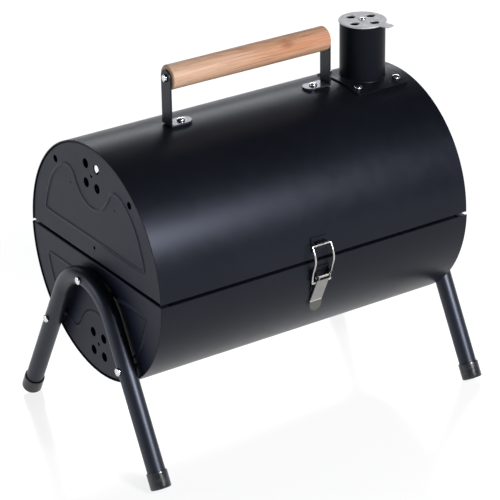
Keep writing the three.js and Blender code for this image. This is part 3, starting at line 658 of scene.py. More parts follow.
# ------------------------------------------------------------------ end plates
BEAD = [(-92, 25), (-46, 25), (0, 25), (46, 25), (92, 25), (96, 30), (91, 46), (80, 68), (66, 82), (56, 89), (45, 91), (36, 86), (30, 76), (20, 65), (8, 60),
        (0, 59), (-8, 60), (-20, 65), (-30, 76), (-36, 86), (-45, 91), (-56, 89), (-66, 82), (-80, 68), (-91, 46), (-96, 30)]


def bead_part(x, side, sign, w=2.7, h=0.95):
    """Stamped ridge with a bell-shaped section that runs flush into the plate."""
    pts = [Vector((p[0], p[1])) for p in BEAD]
    n = len(pts)
    line = []
    for i in range(n):
        p0, p1, p2, p3 = pts[i - 1], pts[i], pts[(i + 1) % n], pts[(i + 2) % n]
        for k in range(6):
            t = k / 6
            line.append(0.5 * ((2 * p1) + (p2 - p0) * t + (2 * p0 - 5 * p1 + 4 * p2 - p3) * t * t + (3 * p1 - p0 - 3 * p2 + p3) * t ** 3))
    m = len(line)
    for _ in range(4):
        line = [(line[i - 1] + line[i] * 2 + line[(i + 1) % m]) / 4 for i in range(m)]
    loops = []
    for i in range(m):
        t = (line[(i + 1) % m] - line[i - 1]).normalized()
        nn = Vector((t.y, -t.x))
        loop = []
        for k in range(11):
            s = -w + 2 * w * k / 10
            q = line[i] + nn * s
            hh = h * math.cos(math.pi * s / (2 * w)) ** 2
            loop.append((x + side * (hh - 0.02), q.x, sign * q.y))
        loops.append(loop)
    p = rings(loops, closed_loop=False, cap=False, close_end=True)
    return p


def d_loop(R, z0, sign, x, seg=96, flat=24):
    a = math.asin(min(0.999, z0 / R))
    pts = arc(R, a, math.pi - a, seg)
    x0 = pts[-1][0]
    pts += [(x0 + (pts[0][0] - x0) * i / flat, z0) for i in range(1, flat)]
    return [(x, y, sign * z) for y, z in pts]


def plate_part(R, sign, side):
    Ro = R - SHEET - GAP
    rb = 1.5
    xo = side * PLATE_X
    loops = []
    # inside of the rim, rim edge, outside of the rim, rounded corner, face
    ins = [(2 * SHEET - 1.4 + 0.0, 0)]
    loops.append(d_loop(Ro - SHEET - rb, SPLIT + SHEET + rb, sign, xo - side * SHEET))
    loops.append(d_loop(Ro - SHEET, SPLIT + SHEET, sign, xo - side * (SHEET + 0.8)))
    loops.append(d_loop(Ro - SHEET, SPLIT + SHEET, sign, xo - side * PAN))
    loops.append(d_loop(Ro, SPLIT, sign, xo - side * PAN))
    for k in range(7):
        a = math.pi / 2 * k / 6
        d = rb * (1 - math.cos(a))
        loops.append(d_loop(Ro - d, SPLIT + d, sign, xo - side * (rb - rb * math.sin(a))))
    return rings(loops)


def end_plate(name, R, sign, side, holes, body, node):
    cuts = []
    for y, z, r, stretch in holes:
        c = [(y + r * stretch * math.cos(a), sign * z + r * math.sin(a)) for a in [2 * math.pi * i / 28 for i in range(28)]]
        cuts.append(prism(c, side * (PLATE_X - 5), side * (PLATE_X + 5), "x"))
    make(name, plate_part(R, sign, side), M_PLATE_LIT_COPY, body, [node], cut=cuts, angle=38)
    make(name + "_bead", bead_part(side * PLATE_X, side, sign), M_PLATE_LIT_COPY, body, angle=80)


vents = [(i * VENT_D, VENT_Z + j * VENT_D, VENT_R, 1) for i in (-1, 1) for j in (-1, 1)] + [(0, VENT_Z, 2, 1)]
lid_extra = [(0, 15.3, 2.0, 1), (72, 88.5, 4.0, 1.0), (-72, 88.5, 4.0, 1.0), (43, 72.5, 0.9, 1), (-43, 72.5, 0.9, 1)]
base_extra = [(0, 15.5, 3, 1), (72.6, 88.5, 3, 1), (-72.6, 88.5, 3, 1), (43, 72.5, 0.9, 1), (-43, 72.5, 0.9, 1)]
for nm, side in (("left", -1), ("right", 1)):
    end_plate("lid_end_sheet_" + nm, R_LID, 1, side, vents + lid_extra, "lid", "lid_end_plate_" + nm)
    end_plate("base_end_sheet_" + nm, R_BASE, -1, side, vents + base_extra, "base", "base_end_plate_" + nm)


# ------------------------------------------------------------------ screws
def cross_cut(depth, size, width):
    p = Part()
    for a in (0, math.pi / 2):
        c, s = math.cos(a), math.sin(a)
        lo, hi = [], []
        for (u, v) in ((-1, -1), (1, -1), (1, 1), (-1, 1)):
            for dest, k, x in ((lo, 0.45, -depth), (hi, 1.0, 0.6)):
                yy, zz = u * size * k, v * width * (0.7 if k < 1 else 1.0)
                dest.append((x, yy * c - zz * s, yy * s + zz * c))
        p.merge(rings([lo, hi]))
    return p


def screw(name, at, direction, node, body, r=4.2, h=2.3, shank=2.0, length=8.0, nut=None, turn=0.3):
    """Pan-head screw with a cross recess: its underside is at 'at', its head points along direction."""
    key = (r, h, shank, length, nut)
    data = SCREWS.get(key)
    if data is None:
        prof = [(0, -length), (shank * 0.8, -length), (shank, -length + 0.6), (shank, -0.05), (r * 0.97, 0), (r, 0.15), (r, 0.5 * h * 0.7)]
        for k in range(1, 9):
            a = math.pi / 2 * k / 8
            prof.append((r * math.cos(a) ** 0.75 if k < 8 else 0, 0.35 * h + 0.65 * h * math.sin(a)))
        part = lathe(prof, (0, 0, 0), (1, 0, 0), 40)
        cuts = [cross_cut(h * 0.62, r * 0.60, r * 0.17).moved(Matrix.Translation((h, 0, 0)))]
        ob = make("screw_template_%d" % len(SCREWS), part, M_CHROME, cut=cuts, angle=40, offset=False)
        data = ob.data
        bpy.data.objects.remove(ob)
        if nut:
            n0, n1, nr = nut
            npart = lathe([(0, -n0), (nr * 0.92, -n0), (nr, -n0 - 0.5), (nr, -n1 + 0.5), (nr * 0.92, -n1), (0, -n1)], (0, 0, 0), (1, 0, 0), 6)
            bm = bmesh.new()
            bm.from_mesh(data)
            tmp = bpy.data.meshes.new("nut")
            tmp.from_pydata([(x / 1000, y / 1000, z / 1000) for x, y, z in npart.v], [], npart.f)
            b2 = bmesh.new()
            b2.from_mesh(tmp)
            bmesh.ops.recalc_face_normals(b2, faces=b2.faces)
            b2.to_mesh(tmp)
            b2.free()
            bm.from_mesh(tmp)
            bm.to_mesh(data)
            bm.free()
            bpy.data.meshes.remove(tmp)
        SCREWS[key] = data
    ob = bpy.data.objects.new(name, data)
    bpy.context.scene.collection.objects.link(ob)
    d, u, w = perp(direction)
    rot = Matrix((d, u, w)).transposed().to_4x4() @ Matrix.Rotation(turn, 4, "X")
    ob.matrix_world = Matrix.Translation((at[0] / 1000, at[1] / 1000, (at[2] + AXIS_Z) / 1000)) @ rot
    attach(ob, body)
    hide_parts(node)
    return ob


SCREWS = {}
LEG_BOLTS = [("top", 0, -15.5), ("front", -72.6, -88.5), ("back", 72.6, -88.5)]
o = LEG_X + TUBE_R + GAP
inner = PLATE_X - SHEET - GAP
for nm, side in (("left", -1), ("right", 1)):
    for i, (where, y, z) in enumerate(LEG_BOLTS):
        screw("leg_screw_%s_%s" % (nm, where), (side * o, y, z), (side, 0, 0), "leg_bolt_%s_%s" % (nm, where), "base", 4.3, 2.5, 2.4, o - inner + 4.2, (o - inner, o - inner + 3.6, 4.3), 0.4 + i)


# ------------------------------------------------------------------ leg frames and caps
tan_y, tan_z = LEG_ARC_R * math.cos(SPLAY), LEG_ARC_Z + LEG_ARC_R * math.sin(SPLAY)
LEG_T = (tan_z - FOOT_Z) / math.cos(SPLAY)


def along(t):
    return tan_y + math.sin(SPLAY) * t, tan_z - math.cos(SPLAY) * t


foot_y, foot_z = along(LEG_T)
for nm, side in (("left", -1), ("right", 1)):
    x = side * LEG_X
    ey, ez = along(LEG_T - CAP_FLOOR - GAP)
    path = [(x, ey, ez)]
    for i in range(1, 6):
        yy, zz = along((LEG_T - CAP_FLOOR - GAP) * (1 - i / 6))
        path.append((x, yy, zz))
    path += [(x, y, z + LEG_ARC_Z) for y, z in arc(LEG_ARC_R, SPLAY, math.pi - SPLAY, 40)]
    for i in range(5, 0, -1):
        yy, zz = along((LEG_T - CAP_FLOOR - GAP) * (1 - i / 6))
        path.append((x, -yy, zz))
    path.append((x, -ey, ez))
    make("leg_tube_" + nm, tube(path, TUBE_R, 40), M_TUBE, "base", ["leg_frame_" + nm])
    for where, sy in (("front", -1), ("back", 1)):
        prof = [(0, 0), (CAP_R - 1.6, 0), (CAP_R - 0.9, 0.15), (CAP_R - 0.3, 0.55), (CAP_R, 1.3), (CAP_R, 4), (CAP_R, CAP_LEN - 2.4), (CAP_R, CAP_LEN - 0.9), (CAP_R - 0.25, CAP_LEN - 0.25), (CAP_R - 0.7, CAP_LEN), (9.75, CAP_LEN), (9.75, CAP_FLOOR), (0, CAP_FLOOR)]
        part = lathe(prof, (x, sy * foot_y, foot_z), (0, -sy * math.sin(SPLAY), math.cos(SPLAY)), 56)
        blk = prism([(x - 30, sy * foot_y - 40), (x + 30, sy * foot_y - 40), (x + 30, sy * foot_y + 40), (x - 30, sy * foot_y + 40)], -AXIS_Z - 20, -AXIS_Z, "z")
        make("foot_cap_moulding_%s_%s" % (nm, where), part, M_CAP, "base", ["foot_cap_%s_%s" % (nm, where)], cut=[blk], angle=35)


# ------------------------------------------------------------------ handle
prof = [(0, -GRIP_HALF + GAP), (GRIP_R - 2.6, -GRIP_HALF + GAP)]
for k in range(1, 7):
    a = math.pi / 2 * k / 6
    prof.append((GRIP_R - 1.8 + 1.8 * math.sin(a), -GRIP_HALF + GAP + 1.8 * (1 - math.cos(a))))
for i in range(1, 24):
    t = -GRIP_HALF + 2.2 + (2 * GRIP_HALF - 4.4) * i / 24
    prof.append((GRIP_R - 0.06 * (1 - math.cos(t / 21.0)), t))
for k in range(6, 0, -1):
    a = math.pi / 2 * k / 6
    prof.append((GRIP_R - 1.8 + 1.8 * math.sin(a), GRIP_HALF - GAP - 1.8 * (1 - math.cos(a))))
prof += [(GRIP_R - 2.6, GRIP_HALF - GAP), (0, GRIP_HALF - GAP)]
make("grip_turning", lathe(prof, (0, 0, GRIP_Z), (1, 0, 0), 64), M_WOOD, "lid", ["handle_grip"], angle=50)
for nm, s in (("left", -1), ("right", 1)):
    w = STRAP_W / 2
    zb = R_LID + GAP
    outline = arc(w, 0, math.pi, 28)
    outline = [(y, z + STRAP_TOP - w) for y, z in outline] + [(-w, zb + 1.2), (w, zb + 1.2)]
    up = prism(outline, s * GRIP_HALF, s * (GRIP_HALF + STRAP_T), "x")
    toe = 78.5
    foot = [(s * (-w * math.sin(a) + toe), w * math.cos(a)) for a in [math.pi * i / 20 for i in range(21)]]
    foot += [(s * (GRIP_HALF + STRAP_T - 2.4), -w), (s * (GRIP_HALF + STRAP_T - 2.4), w)]
    pad = prism(foot, zb, zb + STRAP_T, "z")
    # bent corner between foot and upright
    cor = []
    for k in range(9):
        a = math.pi / 2 * k / 8
        cor.append((s * (GRIP_HALF - 0.4 + 2.4 * math.sin(a)), zb + 2.4 - 2.4 * math.cos(a)))
    cor += [(s * GRIP_HALF, zb + 2.4), (s * (GRIP_HALF - 0.4), zb + STRAP_T)]
    bend = prism([(x, z) for x, z in cor], -w, w, "y")
    c1 = drill((s * 90, 0, GRIP_Z), (s * 105, 0, GRIP_Z), 2.2)
    make("strap_upright_" + nm, up, M_STRAP, "lid", ["handle_strap_" + nm], bevel=0.3, cut=[c1])
    make("strap_foot_" + nm, pad, M_PAD_LIT_COPY, "lid", bevel=0.3)
    make("strap_bend_" + nm, bend, M_STRAP, "lid", bevel=0.15)
    screw("grip_end_screw_" + nm, (s * (GRIP_HALF + STRAP_T + GAP), 0, GRIP_Z), (s, 0, 0), "grip_screw_" + nm, "lid", 4.2, 2.3, 1.7, 23, None, 0.7)
    zf = R_LID + GAP + STRAP_T + GAP
    li = R_LID - SHEET - GAP
    screw("strap_foot_screw_" + nm, (s * 82, 0, zf), (0, 0, 1), "strap_screw_" + nm, "lid", 4.2, 2.3, 2.0, zf - li + 4, (zf - li + 0.2, zf - li + 3.4, 3.9), 0.2)


# ------------------------------------------------------------------ chimney and damper
rim = 0.5
prof = [(CHIM_R, 118), (CHIM_R, CHIM_TOP - rim), (CHIM_R - 0.15, CHIM_TOP - 0.15), (CHIM_R - rim, CHIM_TOP), (CHIM_R - CHIM_WALL + 0.2, CHIM_TOP), (CHIM_R - CHIM_WALL, CHIM_TOP - 0.3), (CHIM_R - CHIM_WALL, 118), (CHIM_R, 118)]
make("chimney_pipe", lathe(prof, (CHIM_X, 0, 0), (0, 0, 1), 96), M_CHIM, "lid", ["chimney_tube"], angle=35)
# weld bead round the foot of the pipe
weld = []
for i in range(96):
    a = 2 * math.pi * i / 96
    r = CHIM_R + 0.35
    yy = r * math.sin(a)
    weld.append((CHIM_X + r * math.cos(a), yy, math.sqrt((R_LID + GAP + SHEET) ** 2 - yy * yy) + 0.15))
make("chimney_weld", tube(weld, 0.75, 10, closed=True), M_COAT, "lid", angle=60)


def on_lid(points, r0, r1):
    """Flat outline of (x, arc length) wrapped round the lid at two radii, returned as the inner and outer point lists.
    """
    lo = [(x, r0 * math.sin(s / r1), r0 * math.cos(s / r1)) for x, s in points]
    hi = [(x, r1 * math.sin(s / r1), r1 * math.cos(s / r1)) for x, s in points]
    return lo, hi


def wrapped_plate(x0, x1, s_half, r0, r1, corner, nx=24, ns=36):
    """Rectangular sheet with rounded corners that follows the lid."""
    def width(s):
        d = abs(s) - (s_half - corner)
        return 0 if d <= 0 else corner - math.sqrt(max(corner ** 2 - d * d, 0))
    ss = []
    for i in range(ns + 1):
        t = i / ns
        ss.append(-s_half + 2 * s_half * (t - math.sin(2 * math.pi * t) / (2 * math.pi) * 0.6))
    p = Part()
    top, bot = [], []
    for s in ss:
        wd = width(s)
        a, b = x0 + wd, x1 - wd
        top.append([(a + (b - a) * j / nx, r1 * math.sin(s / r1), r1 * math.cos(s / r1)) for j in range(nx + 1)])
        bot.append([(a + (b - a) * j / nx, r0 * math.sin(s / r1), r0 * math.cos(s / r1)) for j in range(nx + 1)])
    verts = [q for row in top for q in row] + [q for row in bot for q in row]
    n, m = nx + 1, ns + 1
    off = n * m
    faces = []
    for i in range(m - 1):
        for j in range(n - 1):
            faces.append((i * n + j, i * n + j + 1, (i + 1) * n + j + 1, (i + 1) * n + j))
            faces.append((off + i * n + j, off + (i + 1) * n + j, off + (i + 1) * n + j + 1, off + i * n + j + 1))
    for i in range(m - 1):
        faces.append((i * n, (i + 1) * n, off + (i + 1) * n, off + i * n))
        faces.append((i * n + n - 1, off + i * n + n - 1, off + (i + 1) * n + n - 1, (i + 1) * n + n - 1))
    for j in range(n - 1):
        faces.append((j, off + j, off + j + 1, j + 1))
        e = (m - 1) * n
        faces.append((e + j, e + j + 1, off + e + j + 1, off + e + j))
    return p.add(verts, faces)


plate = wrapped_plate(CHIM_X - 34, CHIM_X + 34, 38.6, R_LID + GAP, R_LID + GAP + SHEET, 5)
make("chimney_flange", plate, M_COAT, "lid", ["chimney_base_plate"], cut=[drill((CHIM_X, 0, 100), (CHIM_X, 0, 150), CHIM_R + 0.4, 64)], bevel=0.25, angle=35)
for i, (dx, a) in enumerate([(-25, -12), (25, -12), (-25, 12), (25, 12)]):
    z, y = rad(1, a)
    r0 = R_LID + GAP + SHEET + GAP
    screw("flange_screw_%d" % i, (CHIM_X + dx, y * r0, z * r0), (0, y, z), "chimney_screw_" + ["front_left", "front_right", "back_left", "back_right"][i], "lid", 4.2, 2.3, 2.0, r0 - 120.6, (r0 - 124.3, r0 - 121.1, 3.9), 0.5 + 0.7 * i)
capz = CHIM_TOP + GAP
hole_at = [(CHIM_X + HOLE_PCR * math.cos(math.radians(DAMPER_TURN + 90 * k)), HOLE_PCR * math.sin(math.radians(DAMPER_TURN + 90 * k))) for k in range(4)]
cuts = [drill((x, y, capz - 10), (x, y, capz + 10), HOLE_R, 36) for x, y in hole_at]
make("chimney_top_sheet", prism(circle(CHIM_X, 0, CHIM_R - 0.05, 80), capz, capz + 1.2, "z"), M_COAT, "lid", ["chimney_top_plate"], cut=cuts, bevel=0.2)
dz = capz + 1.2 + GAP
ta = math.radians(-70)
disc = []
half = math.asin(6 / DAMPER_R)
start = ta + half
for i in range(97):
    a = start + (2 * math.pi - 2 * half) * i / 96
    disc.append((CHIM_X + DAMPER_R * math.cos(a), DAMPER_R * math.sin(a)))
tab = round_poly([(DAMPER_R * math.cos(half) - 0.5, -6), (37, -4.4), (37, 4.4), (DAMPER_R * math.cos(half) - 0.5, 6)], [0, 1.6, 1.6, 0], 5)
disc += [(CHIM_X + u * math.cos(ta) - v * math.sin(ta), u * math.sin(ta) + v * math.cos(ta)) for u, v in tab]
cuts = [drill((x, y, dz - 10), (x, y, dz + 10), HOLE_R, 36) for x, y in hole_at] + [drill((CHIM_X, 0, dz - 5), (CHIM_X, 0, dz + 5), 1.8, 20)]
make("damper_sheet", prism(disc, dz, dz + 1.2, "z"), M_ZINC, "damper", ["damper_disc"], cut=cuts, bevel=0.22, angle=30)
top = dz + 1.2 + GAP
screw("damper_pivot_screw", (CHIM_X, 0, top), (0, 0, 1), "damper_screw", "lid", 3.6, 2.0, 1.65, top - capz + 5, (top - capz + 0.4, top - capz + 3.4, 3.6), 0.9)


# ------------------------------------------------------------------ hinges
def strip(R0, R1, a0, a1, sign, n=12):
    return [(y, sign * z) for y, z in arc(R1, a0, a1, n)] + [(y, sign * z) for y, z in arc(R0, a0, a1, n)[::-1]]


for nm, sx in (("left", -1), ("right", 1)):
    cx = sx * HINGE_X
    for which, sign, R, body in (("lower", -1, R_BASE, "base"), ("upper", 1, R_LID, "lid")):
        part = prism(strip(R + GAP, R + GAP + 1.5, math.radians(3.2), math.radians(11), sign), cx - HINGE_HALF, cx + HINGE_HALF, "x")
        third = 2 * HINGE_HALF / 3
        spans = [(cx - third / 2 + 0.2, cx + third / 2 - 0.2)] if sign > 0 else [(cx - HINGE_HALF, cx - third / 2 - 0.2), (cx + third / 2 + 0.2, cx + HINGE_HALF)]
        for a, b in spans:
            part.merge(lathe([(1.62, 0), (HINGE_R - 0.25, 0), (HINGE_R, 0.25), (HINGE_R, b - a - 0.25), (HINGE_R - 0.25, b - a), (1.62, b - a), (1.62, 0)], (a, HINGE_Y, 0), (1, 0, 0), 40))
            web = [(R + GAP + 0.1, sign * 7.4), (R + GAP + 1.5, sign * 7.4), (HINGE_Y + 1.2, sign * 2.5), (HINGE_Y - 1.6, sign * 2.2), (R + GAP + 0.4, sign * 4.6)]
            part.merge(prism(web, a, b, "x"))
        for dx in (-11, 11):
            y, z = rad(1, 7)
            for lo, hi, dome in ((R + GAP + 1.4, R + GAP + 2.7, 1), (R - SHEET - 0.7, R - SHEET - 1.9, 1)):
                h = abs(hi - lo)
                s = 1 if hi > lo else -1
                prof = [(0, 0), (3, 0), (3, h * 0.25), (2.5, h * 0.7), (1.5, h * 0.95), (0, h)]
                part.merge(lathe(prof, (cx + dx, y * lo, sign * z * lo), (0, s * y, s * sign * z), 24))
        make("hinge_%s_%s" % (which, nm), part, M_ZINC, body, ["hinge_leaf_%s_%s" % (which, nm)], angle=40)
    pin = lathe([(0, -HINGE_HALF - 1.6), (1.9, -HINGE_HALF - 1.6), (2.4, -HINGE_HALF - 1.1), (2.4, -HINGE_HALF - 0.3), (1.5, -HINGE_HALF - 0.3), (1.5, HINGE_HALF + 0.3), (2.4, HINGE_HALF + 0.3), (2.4, HINGE_HALF + 1.1), (1.9, HINGE_HALF + 1.6), (0, HINGE_HALF + 1.6)], (cx, HINGE_Y, 0), (1, 0, 0), 28)
    make("hinge_rod_" + nm, pin, M_ZINC, "base", ["hinge_pin_" + nm], angle=40)


# ------------------------------------------------------------------ toggle latch
r0 = R_BASE + GAP
part = prism(strip(r0 + 0.1, r0 + 1.0, math.radians(3.4), math.radians(16.2), -1), -10, 10, "x")
part = part.moved(Matrix.Rotation(math.pi, 4, "Z"))
for s in (-1, 1):
    ear = round_poly([(-127.9, -10), (-129.5, -10), (-134.6, -13.4), (-136.4, -16.4), (-136.2, -18.8), (-134, -20.7), (-131, -20.8), (-127.2, -20.8)], [0, 1, 2, 1.2, 1.2, 1.2, 1, 0], 4)
    part.merge(prism(ear, s * 7.9, s * 9.1, "x"))
for dx in (-5.5, 5.5):
    y, z = rad(1, 194)
    part.merge(lathe([(0, 0), (1.9, 0), (1.8, 0.25), (1.1, 0.42), (0, 0.46)], (dx, y * (r0 + 0.95), z * (r0 + 0.95)), (0, y, z), 20))
    part.merge(lathe([(0, 0), (2.4, 0), (2.2, 0.6), (1.4, 1.0), (0, 1.1)], (dx, y * (R_BASE - SHEET - 0.1), z * (R_BASE - SHEET - 0.1)), (0, -y, -z), 20))
make("latch_bracket_sheet", part, M_COAT, "base", ["latch_bracket"], bevel=0.15)
pin = lathe([(0, -9.6), (1.2, -9.6), (1.5, -9.3), (1.5, 9.3), (1.2, 9.6), (0, 9.6)], (0, *PIVOT), (1, 0, 0), 28)
make("latch_pivot_rod", pin, M_STEEL_DARK, "base", ["latch_pivot_pin"], angle=40)

# lever plate with cheeks and a rounded tongue
mid = fillet_line([(0, -132.05, -21.3), (0, -119.25, -49.9), (0, -117.8, -62.05)], 1.2, 4)
mid = [(p.y, p.z) for p in mid]
t2 = 0.6
left, right = [], []
for i, p in enumerate(mid):
    a, b = mid[max(i - 1, 0)], mid[min(i + 1, len(mid) - 1)]
    d = Vector((b[0] - a[0], b[1] - a[1])).normalized()
    n = Vector((d.y, -d.x))
    left.append((p[0] + n.x * t2, p[1] + n.y * t2))
    right.append((p[0] - n.x * t2, p[1] - n.y * t2))


def lever_half(z):
    zc, rr = -54.8, 7.4
    if z > zc:
        return 7.4
    return math.sqrt(max(rr * rr - (z - zc) ** 2, 0.01))


def dense(line, n):
    out = []
    for i in range(len(line) - 1):
        for k in range(n):
            out.append((line[i][0] + (line[i + 1][0] - line[i][0]) * k / n, line[i][1] + (line[i + 1][1] - line[i][1]) * k / n))
    out.append(line[-1])
    return out


L, Rr = dense(left, 5), dense(right, 5)
loops = []
for a, b in zip(L, Rr):
    hw = lever_half((a[1] + b[1]) / 2)
    e = min(0.35, hw * 0.3)
    loops.append([(-hw + e, *a), (hw - e, *a), (hw, (a[0] * 0.7 + b[0] * 0.3), (a[1] * 0.7 + b[1] * 0.3)), (hw, (a[0] * 0.3 + b[0] * 0.7), (a[1] * 0.3 + b[1] * 0.7)), (hw - e, *b), (-hw + e, *b), (-hw, (a[0] * 0.3 + b[0] * 0.7), (a[1] * 0.3 + b[1] * 0.7)), (-hw, (a[0] * 0.7 + b[0] * 0.3), (a[1] * 0.7 + b[1] * 0.3))])
part = rings(loops)
for s in (-1, 1):
    cheek = round_poly([(-130.6, -14.8), (-133, -13.9), (-135.4, -15), (-135.9, -17.3), (-135, -19.6), (-132.6, -21.5), (-122, -44.6), (-121.2, -43.6), (-127.6, -26.4), (-127.8, -22.6)], [1, 2, 1.5, 1.5, 1.2, 1, 0.5, 0.5, 1.5, 1.5], 4)
    part.merge(prism(cheek, s * 6.2, s * 7.4, "x"))
make("latch_lever_sheet", part, M_LEVER, "latch_lever", ["latch_lever"], angle=40)


def side_line(x):
    ctrl = [(x, *BAIL), (x, -130.2, -17), (x, -131.9, -10.5), (x, -134.3, -4), (x, -135.5, 1.5), (x, -134.9, 6.5), (x, -132.6, 12), (x, -129.4, 16.9)]
    return [tuple(p) for p in smooth_line(ctrl, 4)]


pts = [(5.6, *BAIL)] + side_line(11.2) + side_line(-11.2)[::-1] + [(-5.6, *BAIL)]
make("latch_bail_wire", tube(fillet_line(pts, 3.2, 6), 1.1, 20), M_STEEL, "latch_bail", ["latch_bail"], angle=50)
part = prism([(-y, z) for y, z in strip(R_LID + GAP + 0.1, R_LID + GAP + 1.1, math.radians(4), math.radians(11), 1)], -10, 10, "x")
part.merge(prism(round_poly([(-126.3, 12.0), (-127.4, 12.3), (-127.9, 13.2), (-127.9, 15.6), (-127.3, 16.2), (-126.3, 16)], [0, 0.5, 0.5, 0.5, 0.4, 0], 3), -8.5, 8.5, "x"))
part.merge(prism(round_poly([(-126.2, 19), (-130.9, 19), (-131.7, 19.5), (-131.3, 20.2), (-125.9, 20.4)], [0, 0.5, 0.5, 0.5, 0], 3), -6, 6, "x"))
for dx in (-6, 6):
    y, z = rad(1, 180 - 7.8)
    part.merge(lathe([(0, 0), (2.4, 0), (2.2, 0.6), (1.4, 1.0), (0, 1.1)], (dx, y * (R_LID - SHEET - 0.1), z * (R_LID - SHEET - 0.1)), (0, -y, -z), 20))
make("latch_strike_sheet", part, M_COAT, "lid", ["latch_strike"], bevel=0.12)


# ------------------------------------------------------------------ inside: supports, grate, tray
gx, gy, wire, frame_r = 176.5, 113.0, 1.5, 2.0
zc = -20 - wire
for nm, s in (("left", -1), ("right", 1)):
    zs = zc - frame_r - GAP
    ang = round_poly([(s * 171, zs), (s * 171, zs - 1.4), (s * (inner - 1.4), zs - 1.4), (s * (inner - 1.4), zs - 12), (s * inner, zs - 12), (s * inner, zs)], [0.4, 0.4, 0.8, 0.4, 0.4, 2.0], 4)
    make("grate_angle_" + nm, prism(ang, -96, 96, "y"), M_INNER, "base", ["grate_support_" + nm], bevel=0.2)
ring = []
cr = 14
for cxx, cyy, a0 in ((gx - cr, gy - cr, 0), (-gx + cr, gy - cr, 90), (-gx + cr, -gy + cr, 180), (gx - cr, -gy + cr, 270)):
    for k in range(9):
        a = math.radians(a0 + 90 * k / 8)
        ring.append((cxx + cr * math.cos(a), cyy + cr * math.sin(a), zc))
part = tube(ring, frame_r, 16, closed=True)
for x in (-60, 60):
    part.merge(tube([(x, -gy, zc - 0.6), (x, gy, zc - 0.6)], 1.45, 14))
for i in range(13):
    y = -gy + 2 * gy * (i + 1) / 14
    ends = gx if abs(y) < gy - cr else gx - 4
    part.merge(tube([(-ends, y, zc + 1), (ends, y, zc + 1)], 1.45, 14))
make("grate_wires", part, M_WIRE, "grate", ["cooking_grate"], angle=50)

tx, ty, th, tz = 169.5, 92.6, 16.0, -84.0


def rect_loop(hx, hy, r, z, n=6):
    pts = []
    for cxx, cyy, a0 in ((hx - r, hy - r, 0), (-hx + r, hy - r, 90), (-hx + r, -hy + r, 180), (hx - r, -hy + r, 270)):
        for k in range(n + 1):
            a = math.radians(a0 + 90 * k / n)
            pts.append((cxx + r * math.cos(a), cyy + r * math.sin(a), z))
    return pts


loops = [rect_loop(tx - 1.8, ty - 1.8, 3, tz), rect_loop(tx - 0.6, ty - 0.6, 3.6, tz + 0.5), rect_loop(tx - 0.1, ty - 0.1, 4, tz + 1.8), rect_loop(tx, ty, 4, tz + th - 0.5), rect_loop(tx - 0.4, ty - 0.4, 4, tz + th), rect_loop(tx - 0.9, ty - 0.9, 3.6, tz + th), rect_loop(tx - 1.3, ty - 1.3, 3, tz + th - 0.4), rect_loop(tx - 1.5, ty - 1.5, 3, tz + 2.6), rect_loop(tx - 2.6, ty - 2.6, 2.4, tz + 1.3)]
cuts = []
for i in range(-3, 4):
    for j in (-1, 1):
        y0, y1 = (14, 74) if j > 0 else (-74, -14)
        sl = [(i * 44 + 4 * math.cos(a), y1 - 4 + 4 * math.sin(a)) for a in [math.pi * k / 8 for k in range(9)]] + [(i * 44 + 4 * math.cos(a), y0 + 4 + 4 * math.sin(a)) for a in [math.pi + math.pi * k / 8 for k in range(9)]]
        cuts.append(prism(sl, tz - 5, tz + 5, "z"))
make("tray_pressing", rings(loops), M_INNER, "tray", ["charcoal_tray"], cut=cuts, angle=35)


# ------------------------------------------------------------------ floor, lights, camera
def stage_floor():
    me = bpy.data.meshes.new("studio_floor")
    s = 14.0
    me.from_pydata([(-s, -s, 0), (s, -s, 0), (s, s, 0), (-s, s, 0)], [], [(0, 1, 2, 3)])
    ob = bpy.data.objects.new("studio_floor", me)
    bpy.context.scene.collection.objects.link(ob)
    m, nt, b = nodes_of("studio_floor_white")
    v = mapped(nt, (1, 1, 1))
    n = noise(nt, v, 1.5, 2, 0.5)
    nt.links.new(ramp(nt, n, [(0.3, (0.085, 0.086, 0.089)), (0.7, (0.10, 0.101, 0.104))]), b.inputs["Base Color"])
    b.inputs["Roughness"].default_value = 0.20
    b.inputs["Specular IOR Level"].default_value = 0.3
    b.inputs["Emission Color"].default_value = (1, 1, 1, 1)
    tc = nt.nodes.new("ShaderNodeTexCoord")
    ln = N(nt, "ShaderNodeVectorMath", operation="LENGTH")
    nt.links.new(tc.outputs["Object"], ln.inputs[0])
    # floor emission dimmed within about 0.5 m of the barrel: a painted shade pool round the object, full white further
    # out
    floor_glow_with_painted_shade = ramp(nt, span(nt, ln.outputs["Value"], 0.0, 1.0, 0.0, 1.6), [(0.0, (0.835, 0.835, 0.84)), (0.16, (0.845, 0.845, 0.85)), (0.34, (0.94, 0.94, 0.94)), (0.8, (1.0, 1.0, 1.0))])
    nt.links.new(floor_glow_with_painted_shade, b.inputs["Emission Color"])
    b.inputs["Emission Strength"].default_value = 1.0
    me.materials.append(m)


stage_floor()

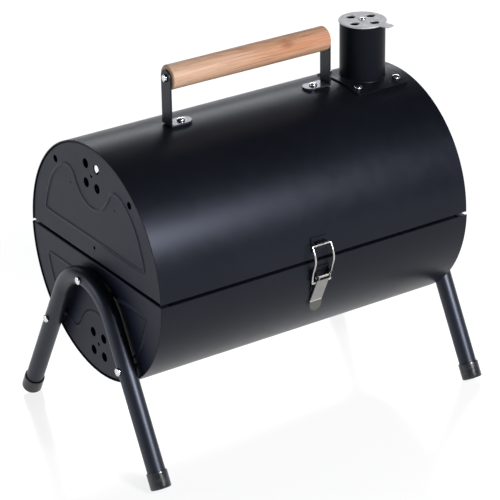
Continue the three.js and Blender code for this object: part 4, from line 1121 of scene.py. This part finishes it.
world = bpy.data.worlds.new("studio")
bpy.context.scene.world = world
world.use_nodes = True
wt = world.node_tree
bg = wt.nodes["Background"]
tc = wt.nodes.new("ShaderNodeTexCoord")
sep = wt.nodes.new("ShaderNodeSeparateXYZ")
wt.links.new(tc.outputs["Generated"], sep.inputs[0])
wr = ramp(wt, sep.outputs["Z"], [(0.0, (0.34, 0.35, 0.40)), (0.22, (0.24, 0.25, 0.29)), (0.50, (0.05, 0.053, 0.065)), (0.9, (0.03, 0.032, 0.04))])
wt.links.new(wr, bg.inputs["Color"])
bg.inputs["Strength"].default_value = 1.0


def area(name, loc, target, size, power, color=(1, 1, 1), size_y=None):
    d = bpy.data.lights.new(name, "AREA")
    d.energy, d.color = power, color
    d.shape = "RECTANGLE"
    d.size = size
    d.size_y = size_y or size
    ob = bpy.data.objects.new(name, d)
    bpy.context.scene.collection.objects.link(ob)
    ob.location = loc
    ob.rotation_euler = (Vector(target) - Vector(loc)).to_track_quat("-Z", "Y").to_euler()
    return ob


area("key_front_right", (0.42, -2.10, 1.52), (0, 0, 0.2), 0.6, 117, (1, 0.99, 0.98), 0.6)
area("fill_left", (-2.2, 0.9, 0.95), (0, 0, 0.2), 1.4, 15, (0.95, 0.97, 1.0), 1.0)
area("back_top", (0.95, 1.66, 1.06), (0, 0, 0.3), 2.4, 12, (0.97, 0.98, 1.0), 0.24)

cam_data = bpy.data.cameras.new("photo_camera")
cam_data.sensor_width = 36.0
cam_data.lens = 36.0 * 2372.80 / 500.0
cam_data.clip_end = 100.0
cam = bpy.data.objects.new("photo_camera", cam_data)
bpy.context.scene.collection.objects.link(cam)
pos = Vector((-1.26030938, -1.88816761, 1.04039641 + AXIS_Z / 1000))
right = Vector((0.82821245, -0.56025164, -0.01349973))
up = Vector((0.24362279, 0.33824171, 0.90897771))
fwd = Vector((0.50469008, 0.7561155, -0.41662607))
f_px = 2372.80
fwd2 = (fwd + right * ((250 - 249.683) / f_px) - up * ((250 - 216.117) / f_px)).normalized()
right2 = (right - fwd2 * right.dot(fwd2)).normalized()
up2 = right2.cross(fwd2).normalized()
rot = Matrix((right2, up2, -fwd2)).transposed().to_4x4()
cam.matrix_world = Matrix.Translation(pos) @ rot
bpy.context.scene.camera = cam

bpy.context.scene.view_settings.view_transform = "Standard"
bpy.context.scene.view_settings.look = "None"

bpy.context.view_layer.update()
